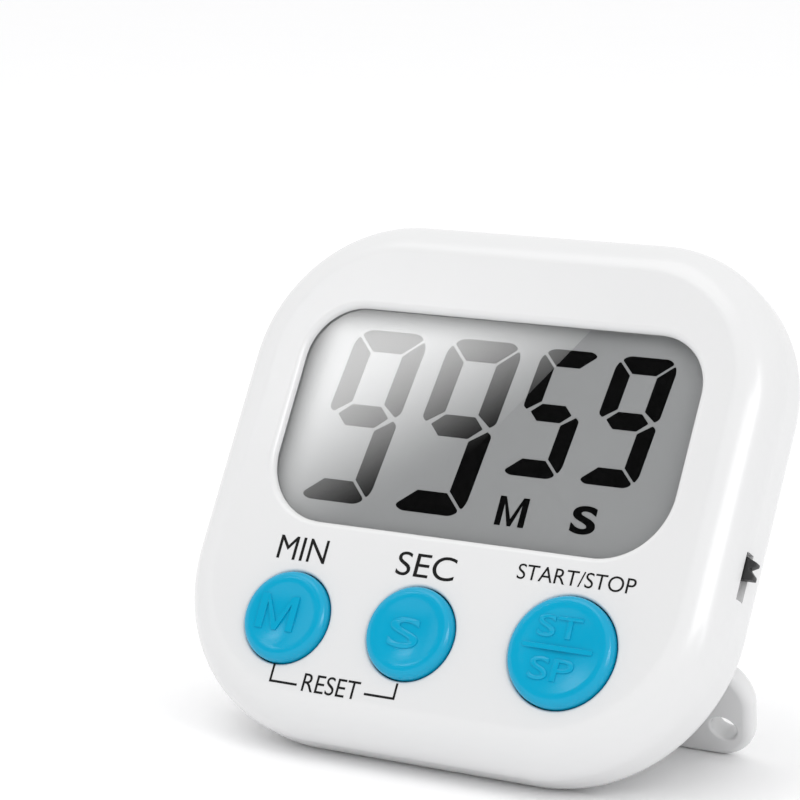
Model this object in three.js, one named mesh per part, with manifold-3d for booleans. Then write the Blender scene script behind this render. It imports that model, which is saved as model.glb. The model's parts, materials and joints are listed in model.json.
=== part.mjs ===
// Electronic kitchen timer: a white two-shell case with a recessed display, three round buttons, a slide
// switch, an AAA cell under a lift-off cover, two magnets and a fold-out stand. Millimetres, +Z up.
//
// Every piece is drawn in the case frame: x to the right, y up the face, z out of the face. The face is the
// plane z = 0, so a depth d inside the case is at z = -d. The last lines lean that frame back on its open
// stand and set it on the floor.
import * as THREE from "three";
import { mergeVertices } from "three/addons/utils/BufferGeometryUtils.js";
import Module from "manifold-3d";

const wasm = await Module();
wasm.setup();

// ---- Driving sizes ----
const gap = 0.3; // left between two pieces that touch
const lean = 30; // degrees that the face leans back from upright

// Case
const caseWidth = 77;
const caseHeight = 71;
const caseDepth = 13;
const topCorner = 20.8;
const bottomCorner = 22.5;
const frontRound = 5.4;
const backRound = 4.6;
const wall = 1.8;
const seamDepth = 10.4; // where the front shell ends
const lipReach = 1.2; // how far the rear shell's lip goes in behind the front shell
const lipThick = 1;

// Window and display
const windowSide = 9.5; // case side to the opening
const windowTop = 13.4; // case top to the opening
const windowHeight = 29.9;
const windowTopCorner = 7.5;
const windowBottomCorner = 9.2;
const windowChamfer = 0.9;
const windowWall = 1; // the face is thinner where the lens sits
const lensLap = 1.1; // lens hidden behind the edge of the opening
const lensThick = 1;
const glassLap = 1.5; // display glass hidden behind the edge of the opening
const glassLedge = 2.1; // contact ledge along the glass's lower edge
const glassThick = 1.6;
const glassCorner = 1;
const reflectorThick = 0.3;
const holderWall = 1;
const holderReach = 0.6; // holder past the back of the glass
const stripWidth = 1.8;
const stripLength = 54;

// Buttons, each on its own tact switch
const buttons = [
  { name: "min", x: -20.2, fromBottom: 14.4, radius: 6.1 },
  { name: "sec", x: -1.9, fromBottom: 14.7, radius: 6.1 },
  { name: "start_stop", x: 19.4, fromBottom: 15.2, radius: 7.2 },
];
const buttonProud = 1;
const buttonTravel = 0.8;
const buttonFlange = 1;
const buttonEdge = 0.7;
const buttonRim = 1.05; // width of the raised rim round the dish
const buttonDish = 0.35;
const tactSide = 6;
const tactHeight = 2;
const plungerRadius = 1.7;
const plungerGrip = 0.6; // plunger left inside its switch at rest

// Board
const boardThick = 1.2;
const boardInset = 3.2; // case side to the board's edge
const boardAboveWindow = 4.6; // board's top edge above the bottom of the opening
const boardScrewSide = 7;
const boardScrewBelowWindow = 6.7;
const boardScrewFromBottom = 9.5;
const boardScrewRadius = 0.8;
const boardScrewHead = 1.7;
const boardScrewHeadThick = 1;
const boardScrewLength = 4;
const boardBoss = 2;

// Slide switch on the right-hand side
const knobTravel = 2.4;
const knobHeight = 3.1;
const knobProud = 1.3;
const knobDepth = 1.2;
const knobNotch = 0.85;
const knobLowerRidge = 0.55; // height of each ridge's flat tip
const knobUpperRidge = 0.4;
const knobValley = 0.85; // from the lower ridge's tip up to the bottom of the notch
const knobRise = 0.45; // from there up to the upper ridge's tip
const stemHeight = 1.8;
const stemDepth = 1;
const recessFront = 4.2; // depth of the recess's front edge
const recessFloor = 1; // below the case's side
const slideBodyHeight = 8.6;
const slideBodyWidth = 2.8;
const slideBodyInset = 3.6; // case side to the switch body
const slideBodyDepth = 2.6;
const slideBelowBoardTop = 3.3;
const leverInside = 1.6; // lever inside the switch body
const leverOutside = 1.66; // lever past the switch body

// Cell, its contacts and cover
const cellDiameter = 10.5;
const cellLength = 43.7;
const cellNub = 0.8;
const cellNubRadius = 2.4;
const contactThick = 0.4;
const contactInset = 1.25; // contact plate's edge inside the cell's outline
const contactTail = 1.6;
const springLength = 4.5;
const springWire = 0.7;
const springTurns = 3;
const springTip = 0.45; // of the cell's radius, at the cell's end
const springBase = 0.8; // of the cell's radius, at the contact plate
const troughWall = 1;
const troughAboveBoard = 0.8;
const coverLap = 1.8;
const coverThick = 1.2;
const coverCorner = 2.5;
const seatDepth = 1.3;
const coverRib = 8;
const grooveRadius = 3;
const grooveFromEnd = 5;
const grooveDepth = 0.6;

// Raised back over the cell, and the magnets in it
const plateauSide = 4; // past the ends of the compartment
const plateauBelow = 6; // under the compartment
const plateauCorner = 7;
const plateauRound = 1.5;
const magnetWidth = 20;
const magnetHeight = 7.5;
const magnetThick = 2.5;
const magnetSpacing = 26;
const magnetProud = 0.25;
const magnetMargin = 1.4; // from the cover, and from the magnets to the plateau's edge
const pocketWall = 1.2;

// Stand
const standAngle = 57; // degrees between the back and the open stand
const standThick = 3;
const standRound = 1.2;
const standTongue = 19.7; // half the hinged width
const standShoulder = 36; // half the widest width
const standFoot = 33.4; // half the width at the foot, before rounding
const standArch = 2.7;
const standArchHalf = 16;
const standTongueCorner = 2.2;
const standNeck = 0.8; // clear of the lugs
const standNeckCorner = 2.5;
const standSlope = 6.5; // from the neck out to the shoulder
const standShoulderAt = 0.43; // of the stand's length
const standShoulderCorner = 3;
const standFootCorner = 4.6;
const standArchRun = 5; // from the arch to the flat of the foot
const standArchCorner = 2;
const standHole = 1.8;
const standHoleSide = 30.5;
const standHoleFromFoot = 5.1;
const hingeBelowPlateau = 2.6;
const lugWidth = 2.6;
const lugRadius = 2.1;
const pinRadius = 0.8;
const pinInTongue = 3.2;

// Case screws
const screwTopSide = 16.5;
const screwTopEdge = 8.1;
const screwBottomSide = 8.3;
const screwBottomEdge = 13;
const screwHead = 2;
const screwHeadThick = 1.3;
const screwRadius = 0.9;
const screwLength = 6.5;
const screwSunk = 0.1;
const headTaper = 0.85; // outer face of a head, of its radius
const crossDepth = 0.5; // of the head's thickness
const crossHalf = 0.2; // half the slot's width, of the head's radius
const crossReach = 0.62; // of the head's radius
const screwBoss = 2.3;
const padRadius = 3.2;
const padThick = 2.9; // from the back's outside to the pad's face

// Piezo buzzer on the rear shell
const piezoX = -14;
const piezoFromBottom = 15;
const piezoRadius = 9;
const piezoThick = 0.25;
const ceramicRadius = 6.2;
const ribHeight = 0.8;
const ribWidth = 1;
const soundHole = 0.6;
const soundHoleCircle = 2.6;
const soundHolesAround = 6;
const wireRadius = 0.3;
const wireSpread = 2;

// ---- Places worked out from the driving sizes ----
const sideX = caseWidth / 2;
const topY = caseHeight / 2;
const bottomY = -caseHeight / 2;
const windowX = sideX - windowSide;
const windowTopY = topY - windowTop;
const windowBottomY = windowTopY - windowHeight;

const lensFront = windowWall + gap;
const lensBack = lensFront + lensThick;
const glassFront = lensBack + gap;
const glassBack = glassFront + glassThick;
const reflectorFront = glassBack + gap;
const reflectorBack = reflectorFront + reflectorThick;

const flangeFront = wall + gap;
const flangeBack = flangeFront + buttonFlange;
const plungerFront = flangeBack + gap;
const tactFront = plungerFront + buttonTravel + gap;
const boardFront = tactFront + tactHeight + gap;
const boardBack = boardFront + boardThick;
const boardTopY = windowBottomY + boardAboveWindow;
const insideBack = caseDepth - wall;

const troughFront = reflectorBack + gap;
const troughFloor = troughFront + troughWall;
const cellRadius = cellDiameter / 2;
const cellDepth = troughFloor + gap + cellRadius;
const troughHalfY = cellRadius + gap;
const cellY = boardTopY + troughAboveBoard + troughWall + troughHalfY;
const cellRoom = contactThick + springLength + cellLength + cellNub + contactThick + 4 * gap;
const troughHalfX = cellRoom / 2 + gap;
const coverFront = cellDepth + cellRadius + gap;
const backDepth = coverFront + coverThick; // the plateau's outside
const coverHalfX = troughHalfX + coverLap;
const coverHalfY = troughHalfY + coverLap;

const magnetY = cellY + coverHalfY + gap + magnetMargin + magnetHeight / 2;
const plateauHalfX = troughHalfX + troughWall + plateauSide;
const plateauBottomY = cellY - troughHalfY - troughWall - plateauBelow;
const plateauTopY = magnetY + magnetHeight / 2 + magnetMargin + plateauRound;

const hingeY = plateauBottomY - hingeBelowPlateau;
const hingeDepth = caseDepth + gap + standThick / 2;

const slideY = boardTopY - slideBelowBoardTop;
const recessHeight = knobHeight + knobTravel + 2 * gap;
const recessBack = recessFront + knobDepth + 2 * gap;
const stemFront = recessFront + gap;
const piezoY = bottomY + piezoFromBottom;

const bossY = windowBottomY - boardScrewBelowWindow;
const boardScrewPlaces = [
  [-(sideX - boardScrewSide), bossY],
  [sideX - boardScrewSide, bossY],
  [(buttons[1].x + buttons[1].radius + buttons[2].x - buttons[2].radius) / 2, bottomY + boardScrewFromBottom],
];
const caseScrewPlaces = [
  [-(sideX - screwTopSide), topY - screwTopEdge],
  [sideX - screwTopSide, topY - screwTopEdge],
  [-(sideX - screwBottomSide), bottomY + screwBottomEdge],
  [sideX - screwBottomSide, bottomY + screwBottomEdge],
];
const bossEnd = caseDepth - padThick - gap;

// ---- Finishes ----
const whitePlastic = { color: 0xededef, roughness: 0.32, metalness: 0 };
const tealPlastic = { color: 0x15a6c8, roughness: 0.35, metalness: 0 };
const clearPlastic = { color: 0xc9cfd2, roughness: 0.05, metalness: 0 };
const displayGrey = { color: 0x969696, roughness: 0.25, metalness: 0 };
const reflectorFoil = { color: 0xa9acae, roughness: 0.4, metalness: 0.6 };
const greyRubber = { color: 0x6f7a80, roughness: 0.8, metalness: 0 };
const pinkRubber = { color: 0xd58e95, roughness: 0.7, metalness: 0 };
const greenBoard = { color: 0x1f6b3a, roughness: 0.5, metalness: 0 };
const blackPlastic = { color: 0x161616, roughness: 0.45, metalness: 0 };
const steel = { color: 0xb9bcc0, roughness: 0.3, metalness: 1 };
const brass = { color: 0xc9a24b, roughness: 0.35, metalness: 1 };
const ceramic = { color: 0xdedbd0, roughness: 0.4, metalness: 0 };
const cellWrap = { color: 0x33506b, roughness: 0.35, metalness: 0.2 };
const magnetGrey = { color: 0x4c4f53, roughness: 0.45, metalness: 0.7 };
const redWire = { color: 0xb02020, roughness: 0.5, metalness: 0 };

// ---- Solids ----
const facets = 24;
const arcFacets = 7; // of a quarter turn
const edgeFacets = 4; // of a rounded edge
const wireFacets = 6;
const wireSteps = 10;
const turnSteps = 8; // of one turn of the spring
const domeSteps = 4;
const weld = 1e-4;
const over = 1; // how far a cutter runs past what it cuts

function solid(geometry) {
  geometry.deleteAttribute("normal");
  geometry.deleteAttribute("uv");
  const merged = mergeVertices(geometry, weld);
  const vertProperties = merged.attributes.position.array;
  const triVerts = new Uint32Array(merged.index.array);
  return new wasm.Manifold(new wasm.Mesh({ numProp: 3, vertProperties, triVerts }));
}

function geometryOf(manifold) {
  const { vertProperties, triVerts, numProp } = manifold.getMesh();
  const geometry = new THREE.BufferGeometry();
  const places = new THREE.BufferAttribute(vertProperties, numProp);
  geometry.setAttribute("position", places);
  geometry.setIndex(new THREE.BufferAttribute(triVerts, 1));
  geometry.computeVertexNormals();
  return geometry;
}

// A block between two values of x, of y and of depth.
function block([x0, x1], [y0, y1], [d0, d1]) {
  const geometry = new THREE.BoxGeometry(x1 - x0, y1 - y0, d1 - d0);
  return solid(geometry.translate((x0 + x1) / 2, (y0 + y1) / 2, -(d0 + d1) / 2));
}

// A round bar through the thickness, between two depths.
function round(x, y, radius, [d0, d1], endRadius = radius) {
  const geometry = new THREE.CylinderGeometry(radius, endRadius, d1 - d0, facets);
  geometry.rotateX(Math.PI / 2); // the bar's top, with the first radius, faces out
  return solid(geometry.translate(x, y, -(d0 + d1) / 2));
}

// A round bar along x, at a height y and a depth.
function crossBar([x0, x1], y, depth, radius) {
  const geometry = new THREE.CylinderGeometry(radius, radius, x1 - x0, facets);
  geometry.rotateZ(Math.PI / 2);
  return solid(geometry.translate((x0 + x1) / 2, y, -depth));
}

// An outline extruded between two depths.
function plate(shape, [d0, d1]) {
  const options = { depth: d1 - d0, bevelEnabled: false, curveSegments: arcFacets };
  return solid(new THREE.ExtrudeGeometry(shape, options).translate(0, 0, -d1));
}

// The same with the edges of both faces rounded.
function softPlate(shape, [d0, d1], rounding, steps) {
  const options = {
    depth: d1 - d0 - 2 * rounding,
    bevelSize: rounding,
    bevelThickness: rounding,
    bevelOffset: -rounding,
    bevelSegments: steps,
    curveSegments: arcFacets,
  };
  return solid(new THREE.ExtrudeGeometry(shape, options).translate(0, 0, rounding - d1));
}

// A profile of [radius, depth] points, from the front of its axis to the back, turned about the axis.
function turned(profile) {
  const points = profile.map(([radius, depth]) => new THREE.Vector2(radius, -depth)).reverse();
  return solid(new THREE.LatheGeometry(points, facets).rotateX(Math.PI / 2));
}

// A rectangle with one radius at its two upper corners and another at its lower ones.
function rounded(x0, x1, y0, y1, topRadius, bottomRadius = topRadius) {
  const turn = Math.PI / 2;
  const shape = new THREE.Shape();
  shape.absarc(x1 - bottomRadius, y0 + bottomRadius, bottomRadius, -turn, 0, false);
  shape.absarc(x1 - topRadius, y1 - topRadius, topRadius, 0, turn, false);
  shape.absarc(x0 + topRadius, y1 - topRadius, topRadius, turn, 2 * turn, false);
  shape.absarc(x0 + bottomRadius, y0 + bottomRadius, bottomRadius, 2 * turn, 3 * turn, false);
  shape.closePath();
  return shape;
}

// A closed outline through corners [x, y, radius], each corner rounded off.
function cornered(corners) {
  const shape = new THREE.Shape();
  corners.forEach(([x, y, radius], i) => {
    const corner = new THREE.Vector2(x, y);
    const before = new THREE.Vector2(...corners[(i + corners.length - 1) % corners.length]);
    const after = new THREE.Vector2(...corners[(i + 1) % corners.length]);
    const inward = before.sub(corner).setLength(radius).add(corner);
    const outward = after.sub(corner).setLength(radius).add(corner);
    if (i === 0) shape.moveTo(inward.x, inward.y);
    else shape.lineTo(inward.x, inward.y);
    if (radius > 0) shape.quadraticCurveTo(x, y, outward.x, outward.y);
  });
  shape.closePath();
  return shape;
}

function joined(...solids) {
  return solids.reduce((sum, next) => sum.add(next));
}

function cut(whole, ...cutters) {
  return cutters.reduce((rest, cutter) => rest.subtract(cutter), whole);
}

const timer = new THREE.Group();

function addPiece(name, manifold, finish, parent = timer) {
  const mesh = new THREE.Mesh(geometryOf(manifold), new THREE.MeshStandardMaterial(finish));
  mesh.name = name;
  parent.add(mesh);
  return mesh;
}

// ---- Case ----
function caseOutline(inset) {
  const x = sideX - inset;
  return rounded(-x, x, bottomY + inset, topY - inset, topCorner - inset, bottomCorner - inset);
}

// The case's outer form, or that form drawn in by `inset` all round.
function caseForm(inset) {
  const middle = (frontRound + caseDepth - backRound) / 2;
  const outline = caseOutline(inset);
  const front = softPlate(outline, [inset, caseDepth + frontRound], frontRound - inset, edgeFacets);
  const back = softPlate(outline, [-backRound, caseDepth - inset], backRound - inset, edgeFacets);
  return slice(front, [-over, middle]).add(slice(back, [middle, caseDepth + over]));
}

function windowOutline(margin) {
  const x = windowX + margin;
  const bottom = windowBottomY - margin;
  const top = windowTopY + margin;
  return rounded(-x, x, bottom, top, windowTopCorner + margin, windowBottomCorner + margin);
}

// What a solid holds between two depths.
function slice(form, span) {
  const wide = [-2 * caseWidth, 2 * caseWidth];
  return form.intersect(block(wide, wide, span));
}

const outerForm = caseForm(0);
const innerForm = caseForm(wall);

// The opening with its chamfer, and the pocket behind it that the lens sits in.
function windowCut() {
  const options = {
    depth: over,
    bevelSize: windowChamfer,
    bevelThickness: windowChamfer,
    bevelSegments: 1,
    curveSegments: arcFacets,
  };
  return joined(
    solid(new THREE.ExtrudeGeometry(windowOutline(0), options)),
    plate(windowOutline(0), [-over, wall + over]),
    plate(windowOutline(lensLap + gap), [windowWall, wall + over]),
  );
}

// Recess in the right-hand side, with a narrow slot for the knob's stem through its floor.
function slideCut() {
  const floor = sideX - recessFloor;
  const half = recessHeight / 2;
  const stemHalf = (stemHeight + knobTravel) / 2 + gap;
  const stemSlot = [recessFront, stemFront + stemDepth + gap];
  return joined(
    block([floor, sideX + over], [slideY - half, slideY + half], [recessFront, recessBack]),
    block([sideX - 2 * wall, floor + over], [slideY - stemHalf, slideY + stemHalf], stemSlot),
  );
}

function frontShell() {
  const cavity = slice(innerForm, [0, seamDepth + over]);
  const walls = cut(slice(outerForm, [-over, seamDepth]), cavity);
  const bossFoot = wall / 2;
  const caseBosses = caseScrewPlaces.map(([x, y]) => round(x, y, screwBoss, [bossFoot, bossEnd]));
  const boardBosses = boardScrewPlaces.map(([x, y]) => round(x, y, boardBoss, [bossFoot, boardFront - gap]));
  const shell = joined(walls, ...caseBosses, ...boardBosses);
  const screwEnd = caseDepth - screwSunk - screwHeadThick - screwLength;
  const boardEnd = boardBack + gap - boardScrewLength;
  const holes = [
    ...caseScrewPlaces.map(([x, y]) => round(x, y, screwRadius + gap, [screwEnd - gap, bossEnd + over])),
    ...boardScrewPlaces.map(([x, y]) => round(x, y, boardScrewRadius + gap, [boardEnd - gap, boardBack])),
    ...buttons.map(({ x, fromBottom, radius }) => {
      return round(x, bottomY + fromBottom, radius + gap, [-over, wall + over]);
    }),
  ];
  return cut(shell, windowCut(), slideCut(), ...holes);
}

// Outline of the raised part of the back, or that outline drawn in.
function plateauOutline(inset) {
  const x = plateauHalfX - inset;
  return rounded(-x, x, plateauBottomY + inset, plateauTopY - inset, plateauCorner - inset);
}

function coverOutline(margin) {
  const x = coverHalfX + margin;
  const y = coverHalfY + margin;
  return rounded(-x, x, cellY - y, cellY + y, coverCorner + margin);
}

function lug(side) {
  const inner = standTongue + gap;
  const span = side > 0 ? [inner, inner + lugWidth] : [-inner - lugWidth, -inner];
  const root = caseDepth - wall / 2;
  const foot = block(span, [hingeY - lugRadius, hingeY + lugRadius], [root, hingeDepth]);
  return joined(foot, crossBar(span, hingeY, hingeDepth, lugRadius));
}

function soundHoles() {
  const holes = [round(piezoX, piezoY, soundHole, [insideBack - over, caseDepth + over])];
  for (let i = 0; i < soundHolesAround; i++) {
    const turn = (i * 2 * Math.PI) / soundHolesAround;
    const x = piezoX + soundHoleCircle * Math.cos(turn);
    const y = piezoY + soundHoleCircle * Math.sin(turn);
    holes.push(round(x, y, soundHole, [insideBack - over, caseDepth + over]));
  }
  return joined(...holes);
}

// The contact strips' tails leave the compartment through its lower wall.
function tailSpan(side) {
  const outer = side * (troughHalfX - gap);
  return [outer, outer - side * contactThick].sort((a, b) => a - b);
}

// How far the inside of the back's rounded edge has come in from the case's outline at a depth.
function insideInset(depth) {
  const along = depth - (caseDepth - backRound);
  return backRound - Math.sqrt((backRound - wall) ** 2 - along ** 2);
}

function rearShell() {
  const lipOuter = insideInset(seamDepth) + gap;
  const insideLip = plate(caseOutline(lipOuter), [0, caseDepth]);
  const screwPads = caseScrewPlaces.map(([x, y]) => {
    const pad = round(x, y, padRadius, [caseDepth - padThick, caseDepth - wall / 2]);
    return pad.intersect(insideLip);
  });
  const lip = cut(
    slice(insideLip, [seamDepth - lipReach, insideBack + gap]),
    plate(caseOutline(lipOuter + lipThick), [0, caseDepth + over]),
    ...caseScrewPlaces.map(([x, y]) => round(x, y, screwBoss + gap, [0, caseDepth])),
  );
  const plateauSpan = [insideBack - plateauRound, backDepth];
  const plateau = softPlate(plateauOutline(0), plateauSpan, plateauRound, edgeFacets);
  const back = cut(
    joined(slice(outerForm, [seamDepth + gap, caseDepth + over]), plateau),
    innerForm,
    plate(plateauOutline(wall), [insideBack - over, backDepth - wall]),
  );
  const spanX = [-troughHalfX - troughWall, troughHalfX + troughWall];
  const spanY = [cellY - troughHalfY - troughWall, cellY + troughHalfY + troughWall];
  const magnets = [-1, 1].map((side) => (side * magnetSpacing) / 2);
  const pocketDepth = backDepth + magnetProud - magnetThick - gap;
  const pocket = (x, margin, span) => {
    const halfX = magnetWidth / 2 + margin;
    const halfY = magnetHeight / 2 + margin;
    return block([x - halfX, x + halfX], [magnetY - halfY, magnetY + halfY], span);
  };
  const piezoRib = cut(
    round(piezoX, piezoY, piezoRadius, [insideBack - ribHeight, insideBack + gap]),
    round(piezoX, piezoY, piezoRadius - ribWidth, [0, insideBack + over]),
  );
  const shell = joined(
    back,
    lip,
    block(spanX, spanY, [troughFront, backDepth - wall / 2]),
    plate(coverOutline(gap + pocketWall), [coverFront - gap - seatDepth, backDepth - wall / 2]),
    ...magnets.map((x) => pocket(x, gap + pocketWall, [pocketDepth - pocketWall, backDepth - wall / 2])),
    ...screwPads,
    lug(-1),
    lug(1),
    piezoRib,
  );
  const troughX = [-troughHalfX, troughHalfX];
  const troughY = [cellY - troughHalfY, cellY + troughHalfY];
  const headDepth = caseDepth - screwSunk - screwHeadThick - gap;
  const cutters = [
    block(troughX, troughY, [troughFloor, backDepth + over]),
    plate(coverOutline(gap), [coverFront - gap, backDepth + over]),
    soundHoles(),
    crossBar([-sideX, sideX], hingeY, hingeDepth, pinRadius + gap),
    ...magnets.map((x) => pocket(x, gap, [pocketDepth, backDepth + over])),
  ];
  for (const side of [-1, 1]) {
    const [x0, x1] = tailSpan(side);
    const through = [spanY[0] - over, spanY[0] + troughWall + over];
    cutters.push(block([x0 - gap, x1 + gap], through, [boardBack, boardBack + contactTail + 2 * gap]));
  }
  for (const [x, y] of caseScrewPlaces) {
    cutters.push(round(x, y, screwRadius + gap, [0, caseDepth]));
    cutters.push(round(x, y, screwHead + gap, [headDepth, backDepth + over]));
  }
  return cut(shell, ...cutters);
}

addPiece("front_shell", frontShell(), whitePlastic);
addPiece("rear_shell", rearShell(), whitePlastic);

// ---- Display ----
const glassX = windowX + glassLap;
const glassTopY = windowTopY + glassLap;
const glassBottomY = windowBottomY - glassLedge;
const stripBottomY = glassBottomY + gap;

function framePlate(margin, span) {
  const x = glassX + margin;
  return plate(rounded(-x, x, glassBottomY - margin, glassTopY + margin, glassCorner + margin), span);
}

function displayHolder() {
  const span = [wall + gap, glassBack + holderReach];
  return cut(framePlate(gap + holderWall, span), framePlate(gap, [0, caseDepth]));
}

function reflector() {
  const bottom = stripBottomY + stripWidth + gap;
  return block([-glassX, glassX], [bottom, glassTopY], [reflectorFront, reflectorBack]);
}

function connectorStrip() {
  const half = stripLength / 2;
  return block([-half, half], [stripBottomY, stripBottomY + stripWidth], [glassBack + gap, boardFront - gap]);
}

addPiece("display_lens", plate(windowOutline(lensLap), [lensFront, lensBack]), clearPlastic);
addPiece("display_glass", framePlate(0, [glassFront, glassBack]), displayGrey);
addPiece("display_reflector", reflector(), reflectorFoil);
addPiece("display_holder", displayHolder(), whitePlastic);
addPiece("connector_strip", connectorStrip(), pinkRubber);

// ---- Buttons and their switches, each drawn about its own axis ----
function buttonCap(radius) {
  const crown = -buttonProud;
  return turned([
    [0, crown + buttonDish],
    [radius - 2 * buttonRim, crown + buttonDish / 2],
    [radius - buttonRim, crown],
    [radius - buttonEdge, crown],
    [radius - buttonEdge / 3, crown + buttonEdge / 3],
    [radius, crown + buttonEdge],
    [radius, flangeFront],
    [radius + buttonFlange, flangeFront],
    [radius + buttonFlange, flangeBack],
    [0, flangeBack],
  ]);
}

function tactBody() {
  const half = tactSide / 2;
  const tactBack = tactFront + tactHeight;
  const bore = round(0, 0, plungerRadius + gap, [tactFront - over, tactBack - gap]);
  return cut(block([-half, half], [-half, half], [tactFront, tactBack]), bore);
}

for (const { name, x, fromBottom, radius } of buttons) {
  const place = new THREE.Group();
  place.position.set(x, bottomY + fromBottom, 0);
  timer.add(place);
  const plunger = round(0, 0, plungerRadius, [plungerFront, tactFront + plungerGrip]);
  addPiece(name + "_button", buttonCap(radius), tealPlastic, place);
  addPiece(name + "_switch_body", tactBody(), blackPlastic, place);
  addPiece(name + "_switch_plunger", plunger, greyRubber, place);
}

// ---- Board and what is on it ----
function mainBoard() {
  const whole = plate(caseOutline(boardInset), [boardFront, boardBack]);
  const above = block([-caseWidth, caseWidth], [boardTopY, caseHeight], [0, caseDepth]);
  const notch = screwBoss + 2 * gap;
  const bossNotches = caseScrewPlaces.map(([x, y]) => round(x, y, notch, [0, caseDepth]));
  const notchMouths = caseScrewPlaces.map(([x, y]) => {
    const end = Math.sign(x) * caseWidth;
    const mouthTop = y + notch / 4;
    return block([Math.min(x, end), Math.max(x, end)], [y - notch, mouthTop], [0, caseDepth]);
  });
  const screwHoles = boardScrewPlaces.map(([x, y]) => round(x, y, boardScrewRadius + gap, [0, caseDepth]));
  return cut(whole, above, ...bossNotches, ...notchMouths, ...screwHoles);
}

const chip = { x: 8, fromBottom: 17.5, radius: 4.2, height: 1.5 };
const crystal = { x: 22, belowBoardTop: 5, radius: 1, length: 6 };
const chipParts = [
  { name: "capacitor_1", x: 16.5, fromBottom: 14, size: [2, 1.25, 1.2] },
  { name: "capacitor_2", x: 20.5, fromBottom: 14, size: [2, 1.25, 1.2] },
  { name: "resistor_1", x: 16.5, fromBottom: 19, size: [2, 1.25, 0.6] },
];
const onBoard = boardBack + gap;

function resinDome() {
  const { x, fromBottom, radius, height } = chip;
  const profile = [[0, 0]];
  for (let i = 0; i <= domeSteps; i++) {
    const turn = (i * Math.PI) / (2 * domeSteps);
    profile.push([radius * Math.cos(turn), height * Math.sin(turn)]);
  }
  profile[domeSteps + 1][0] = 0;
  const dome = turned(profile);
  return dome.translate(x, bottomY + fromBottom, -onBoard);
}

function crystalCan() {
  const { x, belowBoardTop, radius, length } = crystal;
  return crossBar([x - length / 2, x + length / 2], boardTopY - belowBoardTop, onBoard + radius, radius);
}

addPiece("main_board", mainBoard(), greenBoard);
addPiece("chip_resin", resinDome(), blackPlastic);
addPiece("crystal_can", crystalCan(), steel);
for (const { name, x, fromBottom, size } of chipParts) {
  const y = bottomY + fromBottom;
  const [long, wide, high] = size;
  const piece = block([x - long / 2, x + long / 2], [y - wide / 2, y + wide / 2], [onBoard, onBoard + high]);
  addPiece(name, piece, ceramic);
}

// ---- Slide switch: body on the board, lever in the body, knob in the case's side ----
const slideBodySpan = [sideX - slideBodyInset - slideBodyWidth, sideX - slideBodyInset];
const slideBodyFront = boardFront - gap - slideBodyDepth;
const leverDepths = [stemFront, stemFront + stemDepth];
const leverInner = slideBodySpan[1] - leverInside;
const leverOuter = slideBodySpan[1] + leverOutside;
const restY = knobTravel / 2; // knob above the middle of its travel at rest

function slideBody() {
  const half = slideBodyHeight / 2;
  const slotHalf = (stemHeight + knobTravel) / 2 + gap;
  const body = block(slideBodySpan, [slideY - half, slideY + half], [slideBodyFront, boardFront - gap]);
  const slotX = [leverInner - gap, sideX];
  const slotDepths = [leverDepths[0] - gap, leverDepths[1] + gap];
  const slot = block(slotX, [slideY - slotHalf, slideY + slotHalf], slotDepths);
  return cut(body, slot);
}

function leverAndStem([x0, x1]) {
  const y = [slideY + restY - stemHeight / 2, slideY + restY + stemHeight / 2];
  return block([x0, x1], y, leverDepths);
}

// The knob's ridges, as an outline from its base on the recess floor to its proud tips.
function knob() {
  const base = sideX - recessFloor + gap;
  const tip = sideX + knobProud;
  const half = knobHeight / 2;
  const valley = knobValley - half + knobLowerRidge;
  const upperRidge = valley + knobRise;
  const ridges = new THREE.Shape();
  ridges.moveTo(base, -half);
  ridges.lineTo(tip, -half);
  ridges.lineTo(tip, knobLowerRidge - half);
  ridges.lineTo(tip - knobNotch, valley);
  ridges.lineTo(tip, upperRidge);
  ridges.lineTo(tip, upperRidge + knobUpperRidge);
  ridges.lineTo(base, half);
  ridges.closePath();
  const cap = plate(ridges, [stemFront, stemFront + knobDepth]).translate(0, slideY + restY, 0);
  return joined(cap, leverAndStem([leverOuter + gap, base + gap]));
}

addPiece("power_switch_body", slideBody(), steel);
addPiece("power_switch_lever", leverAndStem([leverInner, leverOuter]), blackPlastic);
addPiece("power_switch_knob", knob(), blackPlastic);

// ---- Cell, contacts, cover and magnets ----
const contactX = troughHalfX - gap; // outer faces of the two contact plates
const nubEnd = contactX - contactThick - gap;
const cellEnd = nubEnd - cellNub;

function contact(side) {
  const [x0, x1] = tailSpan(side);
  const half = cellRadius - contactInset;
  const plateHere = block([x0, x1], [cellY - half, cellY + half], [cellDepth - half, cellDepth + half]);
  const tailY = [boardTopY - 2 * contactTail, cellY - half + over];
  const tail = block([x0, x1], tailY, [boardBack + gap, boardBack + gap + contactTail]);
  const drop = block([x0, x1], [cellY - half, cellY - half + contactTail], [boardBack + gap, cellDepth]);
  return joined(plateHere, tail, drop);
}

class Coil extends THREE.Curve {
  constructor(x0, x1, endRadius, startRadius) {
    super();
    Object.assign(this, { x0, x1, endRadius, startRadius });
  }
  getPoint(t, target = new THREE.Vector3()) {
    const turn = t * springTurns * 2 * Math.PI;
    const radius = THREE.MathUtils.lerp(this.startRadius, this.endRadius, t);
    const x = THREE.MathUtils.lerp(this.x0, this.x1, t);
    return target.set(x, cellY + radius * Math.cos(turn), -cellDepth + radius * Math.sin(turn));
  }
}

// A wire along a curve.
function tube(curve, radius, steps) {
  const section = new THREE.Shape();
  section.absarc(0, 0, radius, 0, 2 * Math.PI, false);
  const options = { extrudePath: curve, steps, curveSegments: wireFacets, bevelEnabled: false };
  return solid(new THREE.ExtrudeGeometry(section, options));
}

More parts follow.
